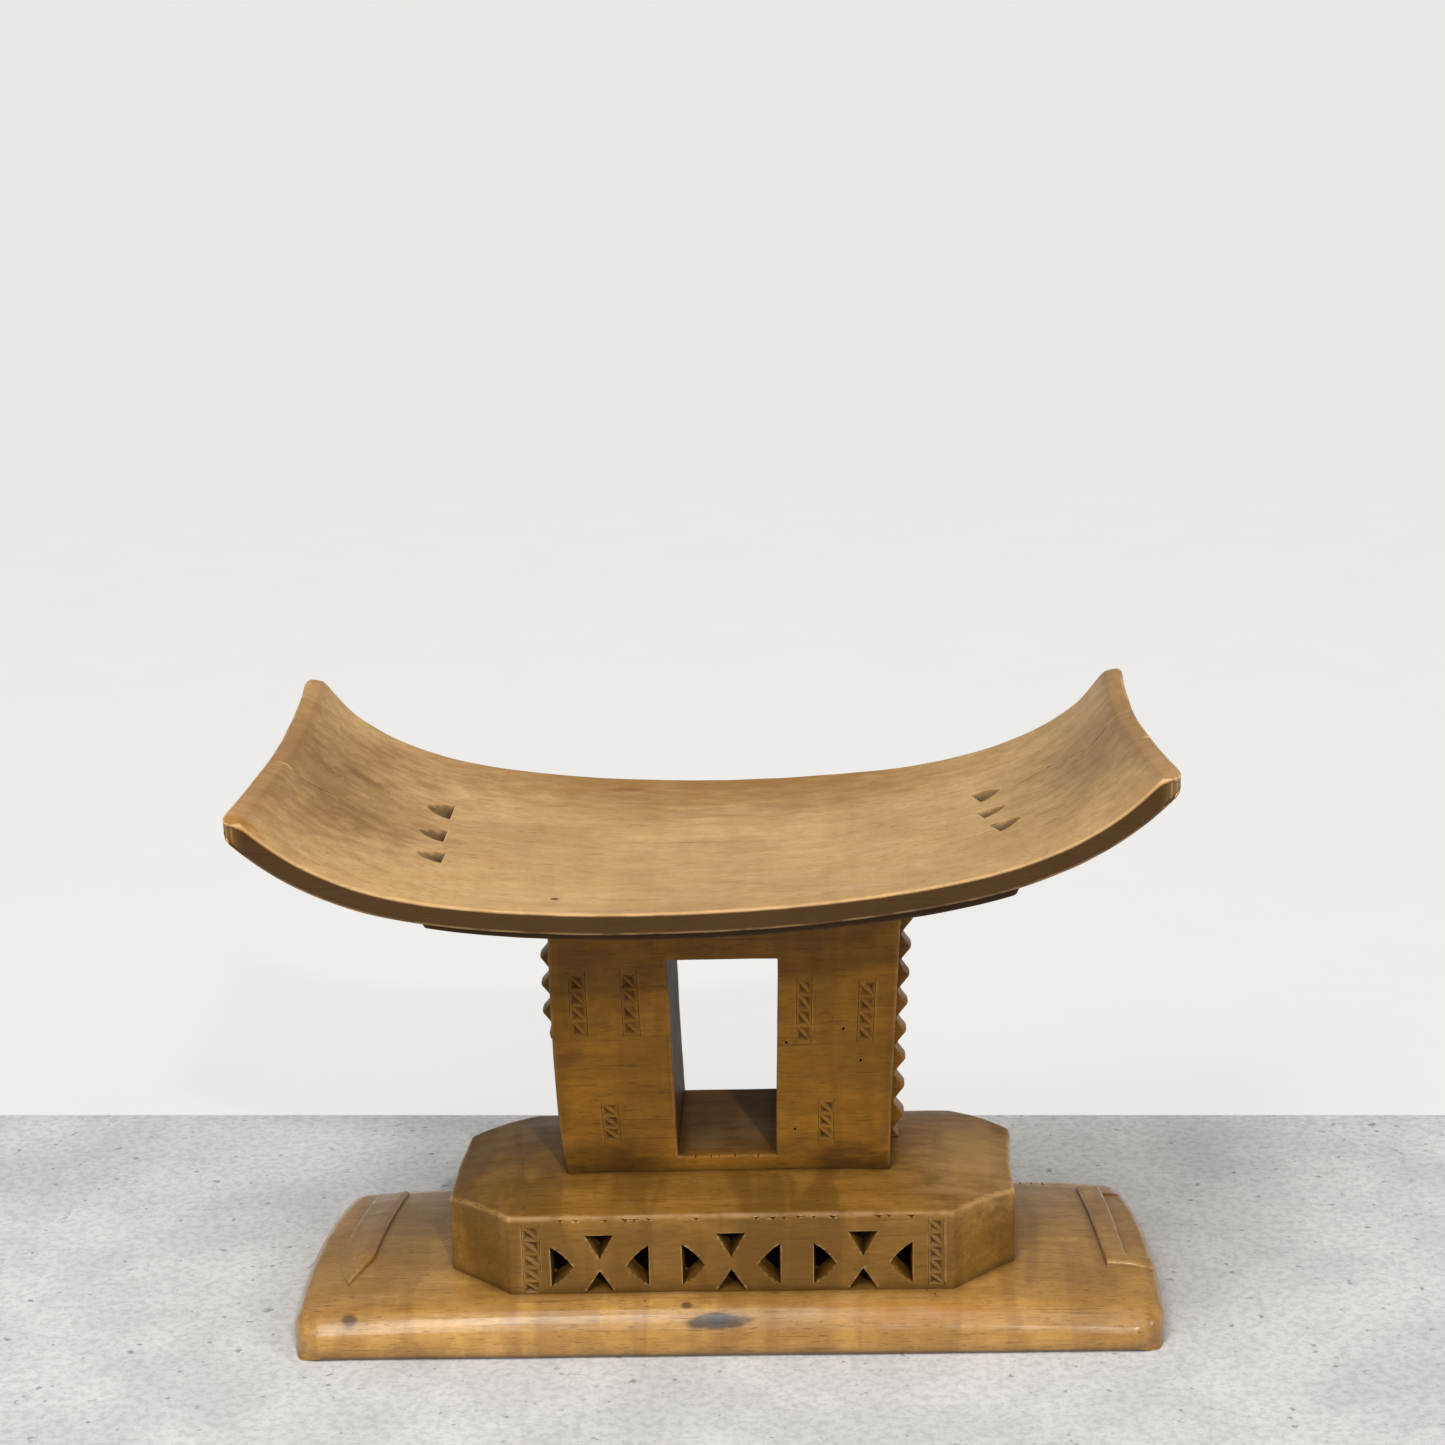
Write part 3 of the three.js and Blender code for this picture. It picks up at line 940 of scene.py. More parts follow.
        # Pale wear on raised edges, which on the seat's sharp arris also paints a highlight.
        edge = graph.sum("MULTIPLY", graph.span(graph.value("wear"), 0.03, 0.17, 0, self.edge_wear_and_highlight), patchy)
        level = graph.sum("MULTIPLY", graph.value("lip"), self.lip_share)
        tone = graph.mix(level, tone, paint(self.lip))
        # Painted shade on the faces that each piece marks as turned from the light.
        shaded_share = graph.sum("MULTIPLY", graph.value("shade"), self.shade_strength)
        tone = graph.mix(shaded_share, tone, paint(self.painted_shade))
        tone = graph.mix(edge, tone, paint(self.worn))
        # Dark wax and painted shade in the cut hollows.
        waxed_and_shaded = graph.sum("MULTIPLY", graph.value("hollow"), self.wax)
        return graph.mix(waxed_and_shaded, tone, paint(self.grime_and_shade))

    def relief(self, graph: Graph) -> Socket:
        """The fine surface: raised fibres, open pores and scraper marks.

        Args:
            graph: the material being laid out.

        Returns:
            The bumped normal.
        """
        fibres = graph.noise((38, 760, 760), 3, 0.6)
        pores = graph.span(graph.noise((150, 2300, 2300), 1, 0.5), 0.60, 0.76)
        scrapes = graph.noise((30, 130, 130), 3, 0.55)
        raised = graph.sum("MULTIPLY", fibres, self.fibre_height)
        height = graph.sum("ADD", raised, graph.sum("MULTIPLY", scrapes, self.scrape_height))
        height = graph.sum("SUBTRACT", height, graph.sum("MULTIPLY", pores, self.pore_depth))
        inputs = {"Height": height, "Strength": self.bump, "Distance": 0.5 * MM}
        return graph.node("ShaderNodeBump", inputs).outputs["Normal"]

    def material(self) -> Material:
        """Lays out the whole finish.

        Returns:
            The material.
        """
        graph = Graph(self.name)
        polished, dry = self.roughness - 0.08, self.roughness + 0.14
        gloss = graph.span(graph.noise((24, 70, 70), 4, 0.6), 0.3, 0.7, polished, dry)
        gloss = graph.sum("ADD", gloss, graph.sum("MULTIPLY", graph.value("dull"), self.dullness))
        inputs = {
            "Base Color": self.colour(graph), "Roughness": gloss, "Normal": self.relief(graph),
            "IOR": self.bending, "Specular IOR Level": self.shine,
            "Coat Weight": self.coat, "Coat Roughness": self.coat_roughness,
        }
        wood = graph.node("ShaderNodeBsdfPrincipled", inputs)
        graph.node("ShaderNodeOutputMaterial", {"Surface": wood.outputs[0]})
        return graph.material


@dataclass(frozen=True)
class Plaster:
    """A matt floor or wall with soft clouds and small specks."""

    name: str
    pale: str
    dark: str
    speck: str
    specks: float
    glow: float = 0.0

    def material(self) -> Material:
        """Lays out the whole finish.

        Returns:
            The material.
        """
        graph = Graph(self.name)
        clouds = graph.span(graph.noise((9, 9, 9), 6, 0.65), 0.36, 0.64)
        tone = graph.mix(clouds, paint(self.dark), paint(self.pale))
        grit = graph.span(graph.noise((190, 190, 190), 4, 0.7), 0.42, 0.62)
        tone = graph.mix(graph.sum("MULTIPLY", grit, 0.35 * self.specks), tone, paint(self.speck))
        pits = graph.span(graph.noise((120, 120, 120), 2, 0.5), 0.66, 0.74)
        tone = graph.mix(graph.sum("MULTIPLY", pits, self.specks), tone, paint(self.speck))
        inputs = {
            "Base Color": tone, "Roughness": 0.85, "Specular IOR Level": 0.2,
            "Emission Color": paint("fdfcf9"), "Emission Strength": self.glow,
        }
        matt = graph.node("ShaderNodeBsdfPrincipled", inputs)
        graph.node("ShaderNodeOutputMaterial", {"Surface": matt.outputs[0]})
        return graph.material


# -------------------------------------------------------------------- the seat


@dataclass
class Seat:
    """The curved seat, its wedge marks, its lips and its drying cracks."""

    form: SeatForm
    hand: HandWork
    cells: Place = (2.7 * MM, 3.4 * MM, 3 * MM)
    edge_round: float = 1.7 * MM
    lip_round: float = 3.2 * MM
    horn_round: float = 11 * MM
    horn_wear: float = 3 * MM
    mark_length: float = 15.5 * MM
    mark_depth: float = 5.5 * MM
    mark_spread: float = 1.22
    left_marks: tuple[Place, ...] = (
        (-147.5 * MM, 30.3 * MM, 22 * MM), (-146.5 * MM, -12.8 * MM, 17.5 * MM),
        (-143.5 * MM, -48.3 * MM, 15.5 * MM),
    )
    right_marks: tuple[Place, ...] = (
        (151 * MM, 27.7 * MM, 19.5 * MM), (151.5 * MM, -9.5 * MM, 15 * MM),
        (157.5 * MM, -43.6 * MM, 16.5 * MM),
    )
    right_mark_turn: float = 14  # degrees

    def cage(self) -> Piece:
        """The flat board, with rounded horns and edges.

        Returns:
            The cage.
        """
        half, deep = self.form.length / 2, self.form.depth / 2
        outline = [(-half, -deep), (half, -deep), (half, deep), (-half, deep)]
        board = Bench.slab("board", outline, 0, self.form.thickness)

        def weigh(middle: Vector, way: Vector) -> float:
            """The horns are round in plan, the lips' edges soft and the long arrises crisp.

            Args:
                middle: the edge's middle; not used.
                way: its direction.

            Returns:
                The share of the full rounding.
            """
            if abs(way.z) > UPRIGHT:
                return 1.0
            return (self.lip_round if abs(way.y) > UPRIGHT else self.edge_round) / self.horn_round

        Bench.round_edges(board, self.horn_round, 4, weigh)
        return board

    def mark(self, mark: Place, side: int, turn: float) -> Piece:
        """One gouge mark: cut off square inside, with a floor that rises to a rounded tip.

        Args:
            mark: the X and Y of the middle of its square end, and its width there.
            side: which way it points along X.
            turn: how far it is swung round, in degrees.

        Returns:
            The cutting tool.
        """
        x, y, width = mark
        width *= self.mark_spread
        x *= self.form.length / 2 / self.form.half_length(y)
        steps = 7
        flank = [(i / steps, width / 2 * (1 - (i / steps) ** 1.7) ** 0.7) for i in range(steps)]
        outline = [*flank, (1.0, 0.0), *[(share, -half) for share, half in reversed(flank)]]
        swing = Matrix.Rotation(math.radians(turn), 4, "Z")

        def ring(narrowing: float, depth: float) -> list[Vector]:
            """The outline, with its square end at a depth.

            Args:
                narrowing: the share of its width that it keeps.
                depth: how deep its square end is.

            Returns:
                The ring.
            """
            top = self.form.thickness
            points = []
            for share, half in outline:
                floor = top - depth * (1 - 0.9 * share)
                points.append(Vector((side * self.mark_length * share, half * narrowing, floor)))
            return [swing @ point + Vector((x, y, 0)) for point in points]

        return Bench.prism("mark", ring(0.55, self.mark_depth), ring(1.15, -PROUD))

    def cracks(self) -> list[Piece]:
        """Drying cracks in the top, and the nicks in the lips.

        Returns:
            The cutting tools.
        """
        top = Chisel(self.form.thickness, Axis.Z)
        routes = [
            ([(-66, 4), (-40, 6.5), (-22, 8), (0, 5), (21, 2.5)], 0.8, 2),
            ([(118, -58), (138, -51), (158, -46.5), (178, -46)], 1.0, 2.5),
            ([(172, 26), (186, 28), (200, 29), (212, 21), (223, 13), (234, 20), (246, 27)], 1.8, 5),
            ([(-246, -22), (-231, -25), (-222, -20), (-204, -8)], 1.5, 4),
            ([(-233, 25), (-217, 15), (-198, 5)], 0.7, 2),
            ([(-210, 44), (-198, 35), (-184, 22)], 0.6, 2),
            ([(148, 38), (120, 44), (96, 47)], 0.4, 1.5),
        ]
        made = [top.crack([(x * MM, y * MM) for x, y in route], w * MM, d * MM) for route, w, d in routes]
        for x, y in ((-252, -22), (252, -38), (251, 28)):
            nick = [(x - 9, y), (x, y - 3), (x, y + 3)]
            made.append(top.chip([(across * MM, along * MM) for across, along in nick], 4 * MM))
        return made

    def inside(self, at: Vector) -> float:
        """How far a point of the board is from its sides and its rounded horns.

        Args:
            at: a place on the flat board.

        Returns:
            The distance, below zero outside.
        """
        side, end = self.form.depth / 2 - abs(at.y), self.form.length / 2 - abs(at.x)
        if max(side, end) < self.horn_round:
            return self.horn_round - math.hypot(self.horn_round - side, self.horn_round - end)
        return min(side, end)

    def hollow(self, at: Vector) -> float:
        """Dark wax and painted shade in the cracks and in the gouge marks.

        Args:
            at: a place on the flat board.

        Returns:
            How dark it is, from 0 to 1.
        """
        if self.inside(at) < self.edge_round * 1.1 or at.z < MM:
            return 0.0
        depth = self.form.thickness - at.z
        near = min(math.hypot(at.x - x, at.y - y) for x, y, _ in (*self.left_marks, *self.right_marks))
        if near < self.mark_length * 1.2:
            return 0.62 * clamp(depth / (0.5 * MM)) + 0.3 * smooth(depth / self.mark_depth)
        return clamp(depth / (1.6 * MM))

    def shade(self, at: Vector) -> float:
        """Painted shade on the front and back edges, on the underside and just inside the lips' crease.

        Args:
            at: a place on the flat board.

        Returns:
            How dark it is, from 0 to 1.
        """
        side = 1 - smooth((self.inside(at) - 0.3 * MM) / (1.2 * MM))
        below = 1 - smooth((at.z - self.form.thickness + self.edge_round) / (0.7 * self.edge_round))
        long_side = smooth((self.form.length / 2 - abs(at.x) - 3 * MM) / (10 * MM))
        under = 1.0 if at.z < 0.2 * self.form.thickness else 0.0
        past = abs(at.x) - (self.form.length / 2 - self.form.rim_width)
        crease = 0.22 * smooth((past + 4.5 * MM) / (4 * MM)) if past < 0.2 * MM else 0.0
        return max(side * below * blend(0.5, 1.0, long_side), under, crease)

    def lip(self, at: Vector) -> float:
        """The level lip at each end takes the finish's lip tone."""
        past = abs(at.x) - (self.form.length / 2 - self.form.rim_width)
        return smooth((past + MM) / (2.5 * MM)) if at.z > 0.3 * self.form.thickness else 0.0

    def place(self, at: Vector) -> Vector:
        """Where a point of the flat board lies on the carved seat.

        Args:
            at: a place on the flat board.

        Returns:
            Its place in the frame.
        """
        x = at.x * self.form.half_length(at.y) / (self.form.length / 2)
        share = at.z / self.form.thickness
        tip = math.hypot(self.form.length / 2 - abs(at.x), self.form.depth / 2 - abs(at.y))
        worn = self.horn_wear * (1 - smooth(tip / (15 * MM)))
        ruled = Vector((x, at.y, blend(self.form.under(x, at.y), self.form.top(x, at.y) - worn, share)))
        return ruled + self.hand.shift(ruled)

    def build(self, material: Material) -> None:
        """Makes the seat and puts it in the frame.

        Args:
            material: its finish.
        """
        board = self.cage()
        tools = [self.mark(at, -1, 0) for at in self.left_marks]
        tools += [self.mark(at, 1, self.right_mark_turn) for at in self.right_marks]
        Bench.cut(board, tools)
        Bench.cut(board, self.cracks())
        Bench.divide(board, self.cells)
        Bench.tint(board, "hollow", self.hollow)
        Bench.tint(board, "shade", self.shade)
        Bench.tint(board, "lip", self.lip)
        Bench.bend(board, self.place, lambda at: 1.0 if self.inside(at) < 2 * self.edge_round else 0.4)
        Bench.deliver(board, "seat_board", Slot.SEAT, ["seat"], material)


@dataclass
class SeatBlock:
    """The thin block that spreads the column under the seat."""

    form: SeatForm
    hand: HandWork
    middle: float
    length: float = 321 * MM
    depth: float = 216 * MM
    thickness: float = 9 * MM
    gap: float = 0.3 * MM
    end_bevel: float = 4 * MM
    cells: Place = (5 * MM, 6 * MM, 3 * MM)

    def under(self, x: float, y: float) -> float:
        """Height of the block's underside."""
        return self.form.under(x, y) - self.gap - self.thickness

    def place(self, at: Vector) -> Vector:
        """Where a point of the flat block lies under the seat.

        Args:
            at: a place on the flat block.

        Returns:
            Its place in the frame.
        """
        share = at.z / self.thickness
        narrowing = 1 - (1 - share) * self.end_bevel / (self.length / 2)
        x = self.middle + at.x * narrowing
        ruled = Vector((x, at.y, self.under(x, at.y) + at.z))
        return ruled + self.hand.shift(ruled)

    def build(self, material: Material) -> None:
        """Makes the block and puts it in the frame.

        Args:
            material: its finish.
        """
        half, deep = self.length / 2, self.depth / 2
        outline = [(-half, -deep), (half, -deep), (half, deep), (-half, deep)]
        block = Bench.slab("block", outline, 0, self.thickness)
        Bench.round_edges(block, 1.5 * MM, 2, lambda _, __: 1.0)
        Bench.divide(block, self.cells)
        Bench.bend(block, self.place, lambda _: 0.5)
        Bench.deliver(block, "seat_spreader", Slot.COLUMN, ["seat_block"], material)


# ------------------------------------------------------------------ the column


@dataclass
class Column:
    """The windowed column: two piers, a sill and a lintel cut from one block."""

    deck: DeckForm
    block: SeatBlock
    hand: HandWork
    middle: float
    front: float
    back: float
    foot: float = 83.6 * MM
    head: float = 249 * MM
    cage_half: float = 96 * MM
    left_foot_half: float = 93.5 * MM
    left_flare: float = 5.5 * MM
    right_foot_half: float = 90.5 * MM
    right_flare: float = 9 * MM
    window_middle: float = 6.5 * MM
    window_half: float = 28 * MM
    window_flare: float = 3 * MM
    sill: float = 92.6 * MM
    lintel: float = 209.6 * MM
    sill_chips: int = 11
    cells: Place = (3.2 * MM, 4 * MM, 3.2 * MM)
    edge_round: float = 1.6 * MM
    bands: tuple[ZigzagBand, ...] = (
        ZigzagBand(-76 * MM, -68.2 * MM, 166 * MM, 203 * MM),
        ZigzagBand(-47.2 * MM, -39.2 * MM, 166 * MM, 203 * MM),
        ZigzagBand(46.5 * MM, 54.1 * MM, 161 * MM, 198 * MM),
        ZigzagBand(83.0 * MM, 91.2 * MM, 161 * MM, 196 * MM),
        ZigzagBand(-62 * MM, -54 * MM, 103 * MM, 125 * MM),
        ZigzagBand(61 * MM, 69 * MM, 102 * MM, 125 * MM),
    )
    worm_holes: tuple[Point, ...] = (
        (74 * MM, 168 * MM), (40 * MM, 160 * MM), (85 * MM, 149 * MM), (46 * MM, 108 * MM),
    )

    def cage(self) -> Piece:
        """The block with its window and its rounded edges.

        Returns:
            The cage.
        """
        half = self.cage_half
        left, right = self.middle - half, self.middle + half
        outline = [(left, self.front), (right, self.front), (right, self.back), (left, self.back)]
        body = Bench.slab("column", outline, self.foot, self.head)
        low, high = self.front - PROUD, self.back + PROUD
        jambs = (self.window_middle - self.window_half, self.window_middle + self.window_half)
        opening = [(jambs[0], low), (jambs[1], low), (jambs[1], high), (jambs[0], high)]
        Bench.cut(body, [Bench.slab("window", opening, self.sill, self.lintel)])
        Bench.round_edges(body, self.edge_round, 3, self.weigh)
        return body

    def weigh(self, middle: Vector, way: Vector) -> float:
        """The edges of the flanks and of the window are rounded, and the foot and head aren't.

        Args:
            middle: the edge's middle.
            way: its direction.

        Returns:
            The share of the full rounding.
        """
        ends = min(abs(middle.z - self.foot), abs(middle.z - self.head))
        outside = min(abs(middle.y - self.front), abs(middle.y - self.back)) < MM
        if ends < MM and abs(way.z) < 0.5:
            return 0.0
        if not outside:
            return 0.5
        return 1.0

    def chips(self) -> list[Piece]:
        """The zigzag bands, the worm holes, the guide lines and the torn sill.

        Returns:
            The cutting tools.
        """
        face = Chisel(self.front)
        made = [tool for band in self.bands for tool in band.tools(face)]
        made += [face.hole(x, z, 0.9 * MM, 5 * MM) for x, z in self.worm_holes]
        for i in range(self.sill_chips):
            x = self.window_middle + self.window_half * (-0.8 + 0.16 * i)
            size = (0.9 + 0.5 * math.sin(i * 2.3)) * MM
            torn = [(x - 2 * size, self.sill + size), (x + 1.6 * size, self.sill + size),
                    (x, self.sill - 1.4 * size)]
            made.append(face.chip(torn, 2.2 * size))
        return made

    def hollow(self, at: Vector) -> float:
        """Dark wax and painted shade in the chips and holes of the front face.

        Args:
            at: a place on the square block.

        Returns:
            How dark it is, from 0 to 1.
        """
        past_jamb = abs(at.x - self.window_middle) - self.window_half
        past_flank = self.cage_half - abs(at.x - self.middle)
        depth = at.y - self.front
        if past_flank < 2 * MM or depth > 6 * MM or depth < 0.1 * MM:
            return 0.0
        if past_jamb < 2 * MM and at.z > self.sill - 2 * MM:
            return 0.0
        return 0.6 * clamp(depth / (1.1 * MM)) + 0.4 * clamp(depth / (2 * MM) - 1)

    def shade(self, at: Vector) -> float:
        """Painted shade on the walls and the floor of the window, which are also duller.

        Args:
            at: a place on the square block.

        Returns:
            How much so, from 0 to 1.
        """
        near = 0.1 * MM
        if abs(at.x - self.window_middle) > self.window_half + near or at.z < self.sill - near:
            return 0.0
        if at.z > self.lintel + near:
            return 0.0
        on_floor = at.z < self.sill + near
        return blend(0.0, 0.30 if on_floor else 0.85, smooth((at.y - self.front - MM) / (6 * MM)))

    def rubbed(self, at: Vector) -> float:
        """Only the flanks and the window's edges are rubbed much, and the foot not at all.

        Args:
            at: a place on the square block.

        Returns:
            How rubbed it is, from 0 to 1.
        """
        if min(at.z - self.foot, self.head - at.z) < 2 * MM:
            return 0.0
        past_flank = self.cage_half - abs(at.x - self.middle)
        past_jamb = abs(abs(at.x - self.window_middle) - self.window_half)
        return 1.0 if min(past_flank, past_jamb) < 2 * MM else 0.5

    def flank(self, z: float, side: int) -> float:
        """Half width of the column at a height, on one side.

        Args:
            z: metres above the floor.
            side: -1 on the left and 1 on the right.

        Returns:
            The distance from its middle.
        """
        share = clamp((z - self.foot) / (self.head - self.foot))
        if side < 0:
            return self.left_foot_half + self.left_flare * (1 - (1 - share) ** 5)
        return self.right_foot_half + self.right_flare * share ** 1.5

    def place(self, at: Vector) -> Vector:
        """Where a point of the square block lies on the carved column.

        Args:
            at: a place on the square block.

        Returns:
            Its place in the frame.
        """
        away = at.x - self.window_middle
        side = 1 if at.x > self.middle else -1
        flare = self.window_flare * clamp((at.z - self.sill) / (self.lintel - self.sill))
        shoulder = clamp((abs(away) - self.window_half) / (self.cage_half - self.window_half - 2 * MM))
        swing = blend(flare, self.flank(at.z, side) - self.cage_half, shoulder)
        x = at.x + math.copysign(1, away) * swing * clamp(abs(away) / self.window_half)
        low = self.deck.top(x, at.y) + self.block.gap - self.foot
        high = self.block.under(x, at.y) - self.block.gap - self.head
        lowness = 1 - smooth((at.z - self.foot) / (self.sill - self.foot))
        highness = smooth((at.z - self.lintel - 8 * MM) / (self.head - self.lintel - 8 * MM))
        ruled = Vector((x, at.y, at.z + low * lowness + high * highness))
        return ruled + self.hand.shift(ruled)

    def build(self, material: Material) -> None:
        """Makes the column, saws it into its four members and puts them in the frame.

        Args:
            material: its finish.
        """
        body = self.cage()
        Bench.cut(body, self.chips())
        Bench.divide(body, self.cells)
        Bench.tint(body, "hollow", self.hollow)
        for name in ("shade", "dull"):
            Bench.tint(body, name, self.shade)
        Bench.bend(body, self.place, self.rubbed)
        inside = self.window_half + self.window_flare + MM
        right = Bench.split(body, Axis.X, self.window_middle + inside, "right")
        middle = Bench.split(body, Axis.X, self.window_middle - inside, "middle")
        top = Bench.split(middle, Axis.Z, (self.sill + self.lintel) / 2, "top")
        Bench.deliver(body, "column_left_pier", Slot.COLUMN, ["left_pier"], material)
        Bench.deliver(right, "column_right_pier", Slot.COLUMN, ["right_pier"], material)
        Bench.deliver(middle, "column_sill", Slot.COLUMN, ["window_sill"], material)
        Bench.deliver(top, "column_lintel", Slot.COLUMN, ["window_lintel"], material)


@dataclass
class SawRidge:
    """An upright ridge of pointed teeth on one flank of the column."""

    column: Column
    side: int
    pitch: float = 16.5 * MM
    width: float = 16 * MM
    reach: float = 9.5 * MM
    root: float = 3 * MM
    sink: float = 1.5 * MM
    worn_below: float = 154 * MM
    worn_share: float = 0.82
    blunting: float = 0.4 * MM
    hollow: float = 1.18
    lift: float = 4.7 * MM

    @property
    def middle(self) -> float:
        """The ridge stands half way through the column's depth."""
        return (self.column.front + self.column.back) / 2

    def valley(self, middle: float) -> Piece:
        """The cutter of one valley: round at its root, with the teeth left pointed.

        Args:
            middle: the height of its root.

        Returns:
            The cutting tool.
        """
        steps, beyond = 6, 1.25
        outline: list[Point] = []
        for i in range(-steps, steps + 1):
            share = beyond * i / steps
            out = self.root + (self.reach - self.root) * abs(share) ** self.hollow
            outline.append((out, middle + share * self.pitch / 2))
        near = self.middle - self.width / 2 - PROUD
        far = self.middle + self.width / 2 + PROUD
        rings = [[Vector((x, y, z)) for x, z in outline] for y in (near, far)]
        return Bench.prism("valley", *rings)

    def build(self, material: Material) -> None:
        """Makes the ridge and puts it in the frame.

        Args:
            material: its finish.
        """
        node = "left_saw_ridge" if self.side < 0 else "right_saw_ridge"
        low, high = (corner.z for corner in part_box(node))
        near, far = self.middle - self.width / 2, self.middle + self.width / 2
        tip = self.reach - self.blunting
        outline = [(-self.sink, near), (tip, near), (tip, far), (-self.sink, far)]
        comb = Bench.slab("comb", outline, low, high)
        count = round((high - low) / self.pitch)
        self.pitch = (high - low) / count
        for first in (0, 1):
            valleys = range(first, count + 1, 2)
            Bench.cut(comb, [self.valley(low + self.lift + i * self.pitch) for i in valleys])
        Bench.divide(comb, (3 * MM, 2.7 * MM, 2.5 * MM))

        def place(at: Vector) -> Vector:
            """Sets the comb against the flank, worn away towards the foot on the left.

            Args:
                at: a place on the flat comb.

            Returns:
                Its place in the frame.
            """
            worn_off = smooth((self.worn_below - at.z) / (10 * MM)) if self.side < 0 else 0.0
            wear = self.worn_share * worn_off
            out = at.x * (1 - wear) if at.x > 0 else at.x
            round_off = 1 - 0.10 * abs(2 * (at.y - self.middle) / self.width) ** 4
            x = self.column.middle + self.side * (self.column.flank(at.z, self.side) + out * round_off)
            ruled = Vector((x, at.y, at.z))
            return ruled + self.column.hand.shift(ruled)

        Bench.bend(comb, place, lambda _: 0.6)
        name = "left_toothed_ridge" if self.side < 0 else "right_toothed_ridge"
        Bench.deliver(comb, name, Slot.COLUMN, [node], material)


# ------------------------------------------------------------------ the plinth


